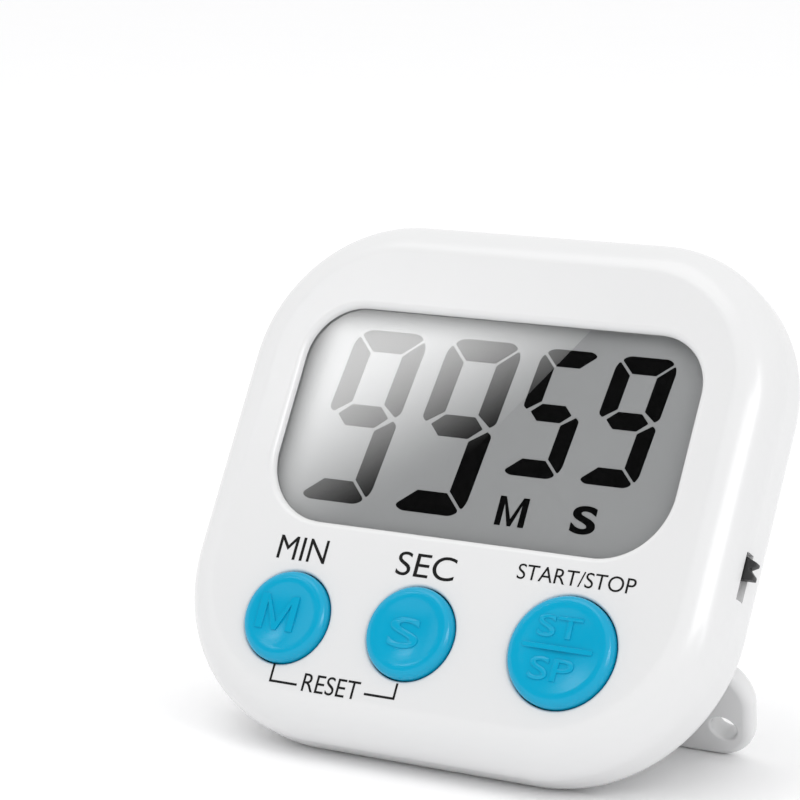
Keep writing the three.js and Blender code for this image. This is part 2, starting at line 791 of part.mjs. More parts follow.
function batterySpring() {
  const wire = springWire / 2;
  const x0 = -contactX + contactThick + gap + wire;
  const x1 = cellEnd - cellLength - gap - wire;
  const coil = new Coil(x0, x1, cellRadius * springTip, cellRadius * springBase);
  return tube(coil, wire, turnSteps * springTurns);
}

function batteryCell() {
  const body = crossBar([cellEnd - cellLength, cellEnd], cellY, cellDepth, cellRadius);
  return joined(body, crossBar([cellEnd - over, nubEnd], cellY, cellDepth, cellNubRadius));
}

// Cover plate with two ribs that drop into the compartment and a thumb groove.
function batteryCover() {
  const cover = plate(coverOutline(0), [coverFront, backDepth]);
  const ribY = [cellY - coverRib / 2, cellY + coverRib / 2];
  const ribs = [-1, 1].map((side) => {
    const outer = side * (troughHalfX - gap);
    const inner = outer - side * over;
    const span = [Math.min(outer, inner), Math.max(outer, inner)];
    return block(span, ribY, [coverFront - seatDepth, coverFront + gap]);
  });
  const grooveSpan = [backDepth - grooveDepth, backDepth + over];
  const groove = round(coverHalfX - grooveFromEnd, cellY, grooveRadius, grooveSpan);
  return cut(joined(cover, ...ribs), groove);
}

function magnet() {
  const halfX = magnetWidth / 2;
  const halfY = magnetHeight / 2;
  const back = backDepth + magnetProud;
  return block([-halfX, halfX], [magnetY - halfY, magnetY + halfY], [back - magnetThick, back]);
}

addPiece("battery_cell", batteryCell(), cellWrap);
addPiece("positive_contact", contact(1), steel);
addPiece("negative_contact", contact(-1), steel);
addPiece("battery_spring", batterySpring(), steel);
addPiece("battery_cover", batteryCover(), whitePlastic);
addPiece("magnet_left", magnet(), magnetGrey).position.x = -magnetSpacing / 2;
addPiece("magnet_right", magnet(), magnetGrey).position.x = magnetSpacing / 2;

// ---- Piezo buzzer ----
const discBack = insideBack - ribHeight - gap;
const ceramicBack = discBack - piezoThick - gap;
const ceramicFront = ceramicBack - piezoThick;

// Each wire lies beside the ceramic and runs out over the disc's edge to the board.
function buzzerWire(side) {
  const x = piezoX + wireSpread * side;
  const y = piezoY + ceramicRadius + gap + wireRadius;
  const start = discBack - piezoThick - gap - wireRadius;
  const end = boardBack + gap + wireRadius;
  const path = new THREE.CatmullRomCurve3([
    new THREE.Vector3(x, y, -start),
    new THREE.Vector3(x + (wireSpread / 2) * side, (y + piezoY + piezoRadius) / 2, -start),
    new THREE.Vector3(x + wireSpread * side, piezoY + piezoRadius + over, -end),
  ]);
  return tube(path, wireRadius, wireSteps);
}

addPiece("buzzer_disc", round(piezoX, piezoY, piezoRadius, [discBack - piezoThick, discBack]), brass);
addPiece("buzzer_ceramic", round(piezoX, piezoY, ceramicRadius, [ceramicFront, ceramicBack]), ceramic);
addPiece("buzzer_wire_red", buzzerWire(1), redWire);
addPiece("buzzer_wire_black", buzzerWire(-1), blackPlastic);

// ---- Screws, drawn head back and tip forward from the underside of the head ----
function screw(headRadius, headThick, shaftRadius, length) {
  const slotHalf = crossHalf * headRadius;
  const reach = crossReach * headRadius;
  const body = joined(
    round(0, 0, headRadius, [0, headThick], headTaper * headRadius),
    round(0, 0, shaftRadius, [-length, headThick / 2]),
  );
  const slotSpan = [(1 - crossDepth) * headThick, headThick + over];
  return cut(
    body,
    block([-reach, reach], [-slotHalf, slotHalf], slotSpan),
    block([-slotHalf, slotHalf], [-reach, reach], slotSpan),
  );
}

caseScrewPlaces.forEach(([x, y], i) => {
  const piece = screw(screwHead, screwHeadThick, screwRadius, screwLength);
  addPiece("case_screw_" + (i + 1), piece, steel).position.set(x, y, screwSunk + screwHeadThick - caseDepth);
});
boardScrewPlaces.forEach(([x, y], i) => {
  const piece = screw(boardScrewHead, boardScrewHeadThick, boardScrewRadius, boardScrewLength);
  addPiece("board_screw_" + (i + 1), piece, steel).position.set(x, y, -boardBack - gap);
});

// ---- Stand: drawn flat about its hinge axis, then swung open ----
const openAngle = THREE.MathUtils.degToRad(standAngle);
const leanAngle = THREE.MathUtils.degToRad(lean);

// The height of a point of the leaning case frame, over the level of the face's centre.
function heightOf(y, depth) {
  return y * Math.cos(leanAngle) - depth * Math.sin(leanAngle);
}

// The stand's length from its axis, so that its rounded foot just reaches the floor.
function standReach() {
  const floor = heightOf(bottomY + backRound, caseDepth - backRound) - backRound;
  const fromPlumb = openAngle - leanAngle;
  const flat = standThick / 2 - standRound;
  const drop = heightOf(hingeY, hingeDepth) - floor - standRound - flat * Math.sin(fromPlumb);
  return drop / Math.cos(fromPlumb) + standRound;
}

function standPlate(length) {
  const neck = lugRadius + standNeck;
  const half = [
    [standTongue, standThick / 2, standTongueCorner],
    [standTongue, -neck, 0],
    [standShoulder - standSlope, -neck, standNeckCorner],
    [standShoulder, -standShoulderAt * length, standShoulderCorner],
    [standFoot, -length, standFootCorner],
    [standArchHalf + standArchRun, -length, standArchCorner],
    [standArchHalf, standArch - length, standArchCorner],
  ];
  const otherHalf = half.map(([x, y, radius]) => [-x, y, radius]).reverse();
  const outline = cornered([...half, ...otherHalf]);
  const body = softPlate(outline, [-standThick / 2, standThick / 2], standRound, edgeFacets);
  const holeY = standHoleFromFoot - length;
  const pinHole = (side) => {
    const ends = [side * (standTongue - pinInTongue - gap), side * (standTongue + over)];
    return crossBar(ends.sort((a, b) => a - b), 0, 0, pinRadius + gap);
  };
  return cut(
    body,
    round(standHoleSide, holeY, standHole, [-standThick, standThick]),
    round(-standHoleSide, holeY, standHole, [-standThick, standThick]),
    pinHole(1),
    pinHole(-1),
  );
}

function standPin(side) {
  const ends = [side * (standTongue - pinInTongue), side * (standTongue + gap + lugWidth)];
  return crossBar(ends.sort((a, b) => a - b), 0, 0, pinRadius);
}

const hinge = new THREE.Group();
hinge.position.set(0, hingeY, -hingeDepth);
timer.add(hinge);
addPiece("stand", standPlate(standReach()), whitePlastic, hinge).rotation.x = openAngle;
addPiece("stand_pin_left", standPin(-1), steel, hinge);
addPiece("stand_pin_right", standPin(1), steel, hinge);

// ---- Lean the case back, and set the whole on the floor over the origin ----
timer.rotation.x = Math.PI / 2 - leanAngle;
const box = new THREE.Box3().setFromObject(timer, true);
timer.position.set(-(box.min.x + box.max.x) / 2, -(box.min.y + box.max.y) / 2, -box.min.z);

export default timer;
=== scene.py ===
"""Looks of an electronic kitchen timer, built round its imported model.

New pieces are drawn in the case frame in millimetres: x to the right, y up the face and z out of the face,
with the face at z = 0, so a depth d inside the case is z = -d. settle() puts a finished piece in its place.
"""

import json
import math

import bmesh
import bpy
from mathutils import Matrix, Vector


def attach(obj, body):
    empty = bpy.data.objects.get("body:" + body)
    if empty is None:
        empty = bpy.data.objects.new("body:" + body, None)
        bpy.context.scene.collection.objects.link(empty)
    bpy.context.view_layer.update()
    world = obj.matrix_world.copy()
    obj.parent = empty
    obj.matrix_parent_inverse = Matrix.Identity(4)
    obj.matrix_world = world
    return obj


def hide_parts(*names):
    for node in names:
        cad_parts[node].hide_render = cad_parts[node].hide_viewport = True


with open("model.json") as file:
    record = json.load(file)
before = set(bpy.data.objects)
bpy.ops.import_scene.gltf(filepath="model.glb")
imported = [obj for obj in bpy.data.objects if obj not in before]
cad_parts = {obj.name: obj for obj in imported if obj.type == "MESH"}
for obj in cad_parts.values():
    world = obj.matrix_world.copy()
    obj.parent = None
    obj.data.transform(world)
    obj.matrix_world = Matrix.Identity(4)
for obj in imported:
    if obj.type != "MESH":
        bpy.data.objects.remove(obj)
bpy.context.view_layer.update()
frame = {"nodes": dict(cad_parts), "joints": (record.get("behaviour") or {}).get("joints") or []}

# ---- Sizes, in millimetres; the rest are measured on the model ----
MM = 0.001
GAP = 0.3  # clearance that touching pieces keep in the model
HINGE_Y = -11.0
HINGE_DEPTH = 14.8
WALL = 1.8
WALL_HALF = 0.9
TOP_CORNER = 20.8
BOTTOM_CORNER = 22.5
FRONT_ROUND = 5.4
BACK_ROUND = 4.6
SEAM_DEPTH = 10.4
SEAM_GAP = 0.1
SEAM_EDGE = 0.12
LENS_LAP = 1.1
WINDOW_TOP_CORNER = 7.5
WINDOW_BOTTOM_CORNER = 9.2
WINDOW_ROUND = 0.85
WINDOW_WALL = 1.0
LENS_DEPTH = 1.05
LENS_TO_PANEL = 1.1
LENS_SHINE = 1.8  # reflects this many times what clear plastic would
GLASS_CORNER = 1.0
INK = 0.03
LEGEND_WEIGHT = -0.002
BRACKET_WIDTH = 0.3
LABEL_WEIGHT = 0.03
RAISED_WEIGHT = 0.012
BUTTON_FLANGE = 1.0
BUTTON_RIM = 1.1
BUTTON_DISH = 0.4
HOLE_ROUND = 0.42
HOLE_CLEAR = 0.12
LETTER_RISE = 0.16
RECESS_FLOOR = 1.0
RECESS_FRONT = 4.2
RECESS_BACK = 6.0
KNOB_TRAVEL = 2.4
KNOB_HALF = 1.55
KNOB_PROUD = 1.3
KNOB_NOTCH = 0.85
STEM_HEIGHT = 1.8
PLATEAU_CORNER = 7.0
PLATEAU_ROUND = 1.5
PLATEAU_SIDE = 4.0
PLATEAU_BELOW = 6.0
COVER_CORNER = 2.5
COVER_LAP = 1.8
COVER_THICK = 1.2
COVER_PLAY = 0.12
TROUGH_WALL = 1.0
POCKET_WALL = 1.2
SEAT_DEPTH = 1.3
NUB_RADIUS = 2.4
NUB_LENGTH = 0.8
SPRING_WIRE = 0.7
SPRING_TURNS = 4
SPRING_TAPER = 0.4
LUG_WIDTH = 2.6
LUG_RADIUS = 2.1
SOUND_HOLE = 0.6
SOUND_CIRCLE = 2.6
SOUND_PLACE = (-14.0, -20.5)
STAND_OPEN = math.radians(57)
STAND_THICK = 3.0
STAND_ROUND = 1.2
STAND_HOLE = 1.8
STAND_HOLE_SIDE = 30.5
STAND_HOLE_FROM_FOOT = 5.1
STAND_TONGUE = 19.7  # half widths, from the hinge to the foot
STAND_NECK_SIDE = 29.1
STAND_FOOT = 33.4
STAND_ARCH_FOOT = 21.0
STAND_ARCH = 16.0
STAND_NECK = 2.9  # below the hinge
STAND_SHOULDER_AT = 0.43  # of the stand's length
STAND_RISE = 2.7
PIN_HOLE = 0.86
PIN_RADIUS = 0.8
CORNER_STEPS = 28
EDGE_STEPS = 10
ROUND_STEPS = 64
SHARP = math.radians(32)
WELD = 1e-4
OVER = 1.0  # how far a cutter runs past what it cuts

# ---- The case frame ----
into_case = Vector(next(j["axis"] for j in frame["joints"] if j["name"] == "min_press")).normalized()
hinge_joint = next(j for j in frame["joints"] if j["name"] == "stand_fold")
out_of_face = -into_case
right = Vector((1, 0, 0))
up_face = out_of_face.cross(right)
turn = Matrix((right, up_face, out_of_face)).transposed().to_4x4()
hinge_place = Vector((0, HINGE_Y, -HINGE_DEPTH))
hinge_in_world = Matrix.Translation(hinge_joint["pos_m"])
CASE = hinge_in_world @ turn @ Matrix.Scale(MM, 4) @ Matrix.Translation(-hinge_place)
TO_CASE = CASE.inverted()
STAND = Matrix.Translation(hinge_place) @ Matrix.Rotation(STAND_OPEN, 4, "X")


def span(node, place=TO_CASE):
    """Lowest and highest corner of a CAD node, in the case frame's millimetres."""
    corners = [place @ vertex.co for vertex in frame["nodes"][node].data.vertices]
    low = Vector(min(corner[axis] for corner in corners) for axis in range(3))
    high = Vector(max(corner[axis] for corner in corners) for axis in range(3))
    return low, high


shell_low, shell_high = span("front_shell")
lens_low, lens_high = span("display_lens")
glass_low, glass_high = span("display_glass")
cover_low, cover_high = span("battery_cover")
cell_low, cell_high = span("battery_cell")
knob_low, knob_high = span("power_switch_knob")
CASE_DEPTH = 13.0
SIDE = shell_high.x
TOP = shell_high.y
WINDOW_X = lens_high.x - LENS_LAP
WINDOW_TOP = lens_high.y - LENS_LAP
WINDOW_BOTTOM = lens_low.y + LENS_LAP
GLASS_DEPTH = LENS_DEPTH + LENS_TO_PANEL
BACK_DEPTH = -cover_low.z
COVER_DEPTH = BACK_DEPTH - COVER_THICK
CELL_Y = (cover_low.y + cover_high.y) / 2
TROUGH_X = cover_high.x - COVER_LAP
TROUGH_Y = (cover_high.y - cover_low.y) / 2 - COVER_LAP
INSIDE_BACK = CASE_DEPTH - WALL


# ---- Mesh work ----
def edges_at(bm, height):
    return [edge for edge in bm.edges if all(abs(vertex.co.z - height) < WELD for vertex in edge.verts)]


def soften(bm, edges, width, steps):
    bmesh.ops.bevel(
        bm, geom=edges, offset=width, offset_type="OFFSET", segments=steps, profile=0.5,
        affect="EDGES", material=-1, clamp_overlap=False,
    )


def outline(corners, steps=CORNER_STEPS):
    """A flat face through corners (x, y, radius), each rounded off, at z = 0."""
    bm = bmesh.new()
    verts = [bm.verts.new((x, y, 0)) for x, y, _ in corners]
    bm.faces.new(verts)
    for vert, (_, _, radius) in zip(verts, corners):
        if radius:
            bmesh.ops.bevel(
                bm, geom=[vert], offset=radius, offset_type="OFFSET", segments=steps, profile=0.5,
                affect="VERTICES", material=-1, clamp_overlap=False,
            )
    return bm


def thicken(bm, depths, rounds=(0, 0), steps=EDGE_STEPS):
    """Extrudes a flat face between two depths, with rounded front and back edges."""
    front, back = -depths[0], -depths[1]
    bmesh.ops.translate(bm, vec=(0, 0, front), verts=bm.verts)
    raised = bmesh.ops.extrude_face_region(bm, geom=bm.faces[:])["geom"]
    moved = [item for item in raised if isinstance(item, bmesh.types.BMVert)]
    bmesh.ops.translate(bm, vec=(0, 0, back - front), verts=moved)
    bmesh.ops.recalc_face_normals(bm, faces=bm.faces)
    for height, width in ((front, rounds[0]), (back, rounds[1])):
        if width:
            soften(bm, edges_at(bm, height), width, steps)
    return bm


def slab(xs, ys, depths, corners=(0, 0), rounds=(0, 0), steps=EDGE_STEPS, corner_steps=CORNER_STEPS):
    """A plate between two values of x, of y and of depth, its upper and lower corners rounded."""
    upper, lower = corners
    flat = outline(
        [(xs[0], ys[0], lower), (xs[1], ys[0], lower), (xs[1], ys[1], upper), (xs[0], ys[1], upper)],
        corner_steps,
    )
    return thicken(flat, depths, rounds, steps)


def rod(x, y, radius, depths, end_radius=None, steps=ROUND_STEPS):
    """A round bar through the thickness."""
    bm = bmesh.new()
    bmesh.ops.create_cone(
        bm, cap_ends=True, segments=steps, radius1=end_radius or radius, radius2=radius,
        depth=depths[1] - depths[0],
    )
    bmesh.ops.translate(bm, vec=(x, y, -(depths[0] + depths[1]) / 2), verts=bm.verts)
    return bm


def cross_rod(xs, y, depth, radius, rounding=0.0, steps=ROUND_STEPS):
    """A round bar along x, with rounded ends."""
    bm = rod(0, 0, radius, (-(xs[1] - xs[0]) / 2, (xs[1] - xs[0]) / 2), steps=steps)
    if rounding:
        ends = [edge for edge in bm.edges if edge.calc_face_angle(0) > SHARP]
        soften(bm, ends, rounding, EDGE_STEPS // 2)
    bmesh.ops.rotate(bm, matrix=Matrix.Rotation(math.pi / 2, 3, "Y"), verts=bm.verts)
    bmesh.ops.translate(bm, vec=((xs[0] + xs[1]) / 2, y, -depth), verts=bm.verts)
    return bm


def turned(profile, steps=ROUND_STEPS, corner_steps=EDGE_STEPS // 2):
    """A closed profile of (radius, depth, rounding), from the front of the axis to its back, turned round."""
    flat = outline([(radius, -depth, rounding) for radius, depth, rounding in profile], corner_steps)
    bmesh.ops.rotate(flat, matrix=Matrix.Rotation(math.pi / 2, 3, "X"), verts=flat.verts)
    bmesh.ops.delete(flat, geom=flat.faces[:], context="FACES_ONLY")
    on_axis = [edge for edge in flat.edges if all(abs(vertex.co.x) < WELD for vertex in edge.verts)]
    bmesh.ops.delete(flat, geom=on_axis, context="EDGES")
    bmesh.ops.spin(
        flat, geom=flat.verts[:] + flat.edges[:], axis=(0, 0, 1), cent=(0, 0, 0),
        angle=2 * math.pi, steps=steps, use_merge=True,
    )
    bmesh.ops.remove_doubles(flat, verts=flat.verts, dist=WELD)
    bmesh.ops.recalc_face_normals(flat, faces=flat.faces)
    return flat


def shifted(bm, x=0.0, y=0.0, z=0.0):
    bmesh.ops.translate(bm, vec=(x, y, z), verts=bm.verts)
    return bm


def together(*meshes):
    """Several separate bodies in one mesh."""
    whole = bmesh.new()
    for bm in meshes:
        mesh = bpy.data.meshes.new("part")
        bm.to_mesh(mesh)
        bm.free()
        whole.from_mesh(mesh)
        bpy.data.meshes.remove(mesh)
    return whole


def stand_in(bm):
    mesh = bpy.data.meshes.new("solid")
    bm.to_mesh(mesh)
    bm.free()
    solid = bpy.data.objects.new("solid", mesh)
    bpy.context.scene.collection.objects.link(solid)
    return solid


def combined(bm, tools, operation):
    """A solid joined with or cut by others."""
    base = stand_in(bm)
    others = [stand_in(tool) for tool in tools]
    for other in others:
        step = base.modifiers.new("step", "BOOLEAN")
        step.operation = operation
        step.solver = "EXACT"
        step.object = other
    depsgraph = bpy.context.evaluated_depsgraph_get()
    mesh = bpy.data.meshes.new_from_object(base.evaluated_get(depsgraph))
    result = bmesh.new()
    result.from_mesh(mesh)
    for solid in (base, *others):
        bpy.data.meshes.remove(solid.data)
    bpy.data.meshes.remove(mesh)
    bmesh.ops.remove_doubles(result, verts=result.verts, dist=WELD)
    bmesh.ops.dissolve_degenerate(result, edges=result.edges, dist=WELD)
    return result


def joined(bm, *tools):
    return combined(bm, tools, "UNION")


def cut(bm, *tools):
    return combined(bm, tools, "DIFFERENCE")


def kept_behind(bm, depth, keep_front):
    """Cuts a solid across at a depth and closes the cut."""
    cut_edges = bmesh.ops.bisect_plane(
        bm, geom=bm.verts[:] + bm.edges[:] + bm.faces[:], plane_co=(0, 0, -depth), plane_no=(0, 0, 1),
        clear_inner=keep_front, clear_outer=not keep_front,
    )["geom_cut"]
    rim = [item for item in cut_edges if isinstance(item, bmesh.types.BMEdge)]
    bmesh.ops.contextual_create(bm, geom=rim)
    bmesh.ops.recalc_face_normals(bm, faces=bm.faces)
    return bm


def settle(bm, name, finish, body, replaces=(), place=CASE, flat=False):
    """Puts a drawn piece in the model's frame, gives it its finish, and lets it ride on a body."""
    bmesh.ops.transform(bm, matrix=place, verts=bm.verts)
    for face in bm.faces:
        face.smooth = not flat
    for edge in bm.edges:
        edge.smooth = edge.calc_face_angle(0) < SHARP
    mesh = bpy.data.meshes.new(name)
    bm.to_mesh(mesh)
    bm.free()
    mesh.materials.append(finish)
    piece = bpy.data.objects.new(name, mesh)
    bpy.context.scene.collection.objects.link(piece)
    if not flat:
        shading = piece.modifiers.new("even_shading", "WEIGHTED_NORMAL")
        shading.keep_sharp = True
    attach(piece, body)
    if replaces:
        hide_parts(*replaces)
    return piece


# ---- Finishes ----
class Number:
    """A shader value that Python's arithmetic works on."""

    def __init__(self, finish, socket):
        self.finish = finish
        self.socket = socket

    def maths(self, operation, *values):
        return self.finish.node("ShaderNodeMath", {"operation": operation}, dict(enumerate(values)))

    def __add__(self, other):
        return self.maths("ADD", self, other)

    def __sub__(self, other):
        return self.maths("SUBTRACT", self, other)

    def __rsub__(self, other):
        return self.maths("SUBTRACT", other, self)

    def __mul__(self, other):
        return self.maths("MULTIPLY", self, other)

    def __truediv__(self, other):
        return self.maths("DIVIDE", self, other)

    def above(self, other):
        return self.maths("GREATER_THAN", self, other)

    def below(self, other):
        return self.maths("LESS_THAN", self, other)

    __radd__ = __add__
    __rmul__ = __mul__


class Finish:
    """A material in the making."""

    def __init__(self, name):
        self.material = bpy.data.materials.new(name)
        self.material.use_nodes = True
        self.tree = self.material.node_tree
        self.tree.nodes.clear()

    def node(self, kind, settings=None, values=None, output=0):
        made = self.tree.nodes.new(kind)
        for key, setting in (settings or {}).items():
            if key == "stops":
                self.set_stops(made.color_ramp, setting)
            else:
                setattr(made, key, setting)
        for key, value in (values or {}).items():
            socket = made.inputs[key] if isinstance(key, int) else self.open_socket(made, key)
            if isinstance(value, Number):
                self.tree.links.new(value.socket, socket)
            else:
                socket.default_value = value
        if isinstance(output, str):
            return Number(self, next(s for s in made.outputs if s.name == output and s.enabled))
        return Number(self, made.outputs[output]) if made.outputs else None

    @staticmethod
    def open_socket(made, name):
        return next(socket for socket in made.inputs if socket.name == name and socket.enabled)

    @staticmethod
    def set_stops(ramp, stops):
        while len(ramp.elements) < len(stops):
            ramp.elements.new(1)
        for element, (position, colour) in zip(ramp.elements, stops):
            element.position = position
            element.color = colour

    def place(self):
        return self.node("ShaderNodeTexCoord", output="Object")

    def along(self, axis):
        """A coordinate on the object, in millimetres."""
        parts = self.node("ShaderNodeSeparateXYZ", values={"Vector": self.place()}, output=axis)
        return parts / MM

    def noise(self, size, detail=3.0, stretch=(1, 1, 1)):
        """Soft variation between 0 and 1, with features of a size in millimetres."""
        mapping = {"Vector": self.place(), "Scale": stretch}
        scaled = self.node("ShaderNodeMapping", {"vector_type": "POINT"}, mapping)
        values = {"Vector": scaled, "Scale": 1 / (size * MM), "Detail": detail, "Roughness": 0.5}
        return self.node("ShaderNodeTexNoise", values=values, output=0)

    def mixed(self, factor, first, second):
        values = {"Factor": factor, "A": first, "B": second}
        return self.node("ShaderNodeMix", {"data_type": "RGBA"}, values, output="Result")

    def bump(self, height, depth, strength=1.0):
        """Relief from a height between 0 and 1, as deep as a number of millimetres."""
        values = {"Height": height, "Distance": depth * MM, "Strength": strength}
        return self.node("ShaderNodeBump", values=values)

    def ramp(self, value, low, high):
        """0 at one value of a number and 1 at another."""
        values = {"Value": value, "From Min": low, "From Max": high}
        return self.node("ShaderNodeMapRange", {"interpolation_type": "SMOOTHSTEP"}, values)

    def finished(self, **sockets):
        names = {key.replace("_", " "): value for key, value in sockets.items()}
        shader = self.node("ShaderNodeBsdfPrincipled", values=names)
        self.node("ShaderNodeOutputMaterial", values={"Surface": shader})
        return self.material


def colour(red, green, blue):
    return (red, green, blue, 1)


def moulded(name, tint, shade, gloss=(0.24, 0.32), grain=0.4, relief=0.004, **more):
    """Moulded plastic: a faint drift of tint, and a fine uneven skin that varies the gloss."""
    finish = Finish(name)
    drift = finish.noise(14, 2)
    skin = finish.noise(grain, 4)
    low, high = gloss
    return finish.finished(
        Base_Color=finish.mixed(drift, colour(*tint), colour(*shade)),
        Roughness=low + skin * (high - low),
        Normal=finish.bump(skin, relief),
        **more,
    )


def metal(name, tint, shade, gloss, grain, stretch=(1, 1, 1)):
    """Plated or plain metal with fine marks."""
    finish = Finish(name)
    marks = finish.noise(grain, 5, stretch)
    low, high = gloss
    return finish.finished(
        Base_Color=finish.mixed(finish.noise(5, 3), colour(*tint), colour(*shade)),
        Metallic=1.0,
        Roughness=low + marks * (high - low),
        Normal=finish.bump(marks, 0.004),
    )


def clear_window():
    """Clear plastic: what lies behind shows through, with reflections that grow at a glancing angle."""
    finish = Finish("clear_lens")
    smears = finish.noise(9, 2)
    through = finish.node("ShaderNodeBsdfTransparent", values={"Color": colour(0.985, 0.99, 0.992)})
    shine = {"Color": colour(1, 1, 1), "Roughness": smears * 0.004}
    gloss = finish.node("ShaderNodeBsdfAnisotropic", values=shine)
    inside = finish.node("ShaderNodeNewGeometry", output="Backfacing")
    share = finish.node("ShaderNodeFresnel", values={"IOR": 1.49}) * (1 - inside) * LENS_SHINE
    surface = finish.node("ShaderNodeMixShader", values={0: share, 1: through, 2: gloss})
    finish.node("ShaderNodeOutputMaterial", values={"Surface": surface})
    return finish.material


def display_grey():
    """The display's grey field, with the fine mottling of the polariser."""
    finish = Finish("display_field")
    mottle = finish.noise(0.25, 3)
    drift = finish.noise(22, 2)
    base = finish.mixed(drift, colour(0.325, 0.325, 0.325), colour(0.355, 0.355, 0.355))
    return finish.finished(
        Base_Color=finish.mixed(mottle * 0.25, base, colour(0.25, 0.25, 0.25)),
        Roughness=0.42 + mottle * 0.1,
        Normal=finish.bump(mottle, 0.002),
        Specular_IOR_Level=0.1,
    )


def zebra_rubber():
    """Connector strip: thin dark conducting layers across pink rubber."""
    finish = Finish("strip_rubber")
    layers = finish.node(
        "ShaderNodeTexWave", {"wave_type": "BANDS", "bands_direction": "X"},
        {"Vector": finish.place(), "Scale": 1 / (1.2 * MM), "Distortion": 0.0}, output=1,
    )
    return finish.finished(
        Base_Color=finish.mixed(layers.above(0.55), colour(0.62, 0.26, 0.29), colour(0.03, 0.03, 0.035)),
        Roughness=0.62 + finish.noise(0.6) * 0.2,
    )


def solder_mask():
    """Green board with paler tracks under the mask."""
    finish = Finish("board")
    cells = finish.node(
        "ShaderNodeTexVoronoi", {"distance": "MANHATTAN", "feature": "F1"},
        {"Vector": finish.place(), "Scale": 1 / (3.2 * MM)}, output="Distance",
    )
    tracks = cells.above(0.46) * cells.below(0.6)
    weave = finish.noise(0.3, 2)
    return finish.finished(
        Base_Color=finish.mixed(tracks, colour(0.010, 0.105, 0.035), colour(0.03, 0.21, 0.075)),
        Roughness=0.3 + weave * 0.15,
        Normal=finish.bump(tracks, 0.03),
    )


def cell_sleeve():
    """Printed sleeve of the cell: a dark body and a bright band towards the nub."""
    finish = Finish("cell_wrap")
    along = finish.along("X")
    band = along.above(cell_high.x - 13)
    line = along.above(cell_high.x - 14.4) * along.below(cell_high.x - 13.6)
    sleeve = finish.mixed(band, colour(0.02, 0.055, 0.11), colour(0.62, 0.33, 0.12))
    return finish.finished(
        Base_Color=finish.mixed(line, sleeve, colour(0.75, 0.75, 0.76)),
        Roughness=0.24 + finish.noise(0.8) * 0.12,
        Metallic=0.25,
    )


finishes = {
    "white": moulded("white_plastic", (0.72, 0.721, 0.724), (0.70, 0.701, 0.705), (0.2, 0.26)),
    "teal": moulded(
        "teal_plastic", (0.0, 0.35, 0.56), (0.0, 0.32, 0.53), (0.14, 0.2), 0.8, 0.002, Specular_IOR_Level=0.3
    ),
    "black": moulded("black_plastic", (0.012, 0.012, 0.013), (0.02, 0.02, 0.021), (0.36, 0.5)),
    "ink": moulded(
        "printing_ink", (0.004, 0.004, 0.004), (0.007, 0.007, 0.007), (0.5, 0.6),
        0.15, Specular_IOR_Level=0.15,
    ),
    "segment": moulded(
        "display_segment", (0.001, 0.001, 0.001), (0.002, 0.002, 0.002), (0.4, 0.5),
        0.2, Specular_IOR_Level=0.05,
    ),
    "rubber": moulded("grey_rubber", (0.15, 0.17, 0.18), (0.13, 0.15, 0.16), (0.7, 0.85)),
    "ceramic": moulded("white_ceramic", (0.72, 0.69, 0.6), (0.66, 0.63, 0.55), (0.35, 0.5), 0.2),
    "red": moulded("red_wire", (0.42, 0.012, 0.012), (0.36, 0.01, 0.01), (0.4, 0.5)),
    "foil": metal("reflector_foil", (0.55, 0.56, 0.57), (0.5, 0.51, 0.52), (0.3, 0.5), 0.3),
    "steel": metal("plated_steel", (0.62, 0.62, 0.63), (0.52, 0.52, 0.53), (0.18, 0.34), 0.25, (1, 6, 1)),
    "brass": metal("buzzer_brass", (0.71, 0.5, 0.2), (0.62, 0.42, 0.16), (0.25, 0.42), 0.3),
    "magnet": metal("magnet", (0.17, 0.17, 0.18), (0.12, 0.12, 0.125), (0.38, 0.56), 0.3),
    "lens": clear_window(),
    "field": display_grey(),
    "strip": zebra_rubber(),
    "board": solder_mask(),
    "sleeve": cell_sleeve(),
}


# ---- Case ----
def case_form(inset=0.0):
    """The case's outer form, or that form drawn in all round."""
    side = SIDE - inset
    corners = (TOP_CORNER - inset, BOTTOM_CORNER - inset)
    rounds = (FRONT_ROUND - inset, BACK_ROUND - inset)
    depths = (inset, CASE_DEPTH - inset)
    return slab((-side, side), (-TOP + inset, TOP - inset), depths, corners, rounds, 14)


def window_slab(margin, depths):
    side = WINDOW_X + margin
    corners = (WINDOW_TOP_CORNER + margin, WINDOW_BOTTOM_CORNER + margin)
    return slab((-side, side), (WINDOW_BOTTOM - margin, WINDOW_TOP + margin), depths, corners)


def button_place(node):
    """Centre and radius of a button's cap."""
    low, high = span(node)
    return (low.x + high.x) / 2, (low.y + high.y) / 2, (high.x - low.x) / 2 - BUTTON_FLANGE


BUTTONS = {name: button_place(name + "_button") for name in ("min", "sec", "start_stop")}
KNOB_Y = (knob_low.y + knob_high.y) / 2
SLIDE_Y = KNOB_Y - KNOB_TRAVEL / 2
RECESS_HALF = (knob_high.y - knob_low.y + KNOB_TRAVEL) / 2 + GAP


def slide_cutters():
    stem_half = (STEM_HEIGHT + KNOB_TRAVEL) / 2 + GAP
    recess = slab(
        (SIDE - RECESS_FLOOR, SIDE + OVER), (SLIDE_Y - RECESS_HALF, SLIDE_Y + RECESS_HALF),
        (RECESS_FRONT, RECESS_BACK),
    )
    stem = slab(
        (SIDE - 2 * WALL, SIDE), (SLIDE_Y - stem_half, SLIDE_Y + stem_half),
        (RECESS_FRONT + 0.5 * GAP, RECESS_FRONT + 1.6),
    )
    return [recess, stem]


def is_rim(edge):
    flat = all(abs(vertex.co.z) < WELD for vertex in edge.verts)
    return flat and edge.calc_face_angle(0) > SHARP


def in_window(edge):
    return all(vertex.co.y > WINDOW_BOTTOM - OVER for vertex in edge.verts)


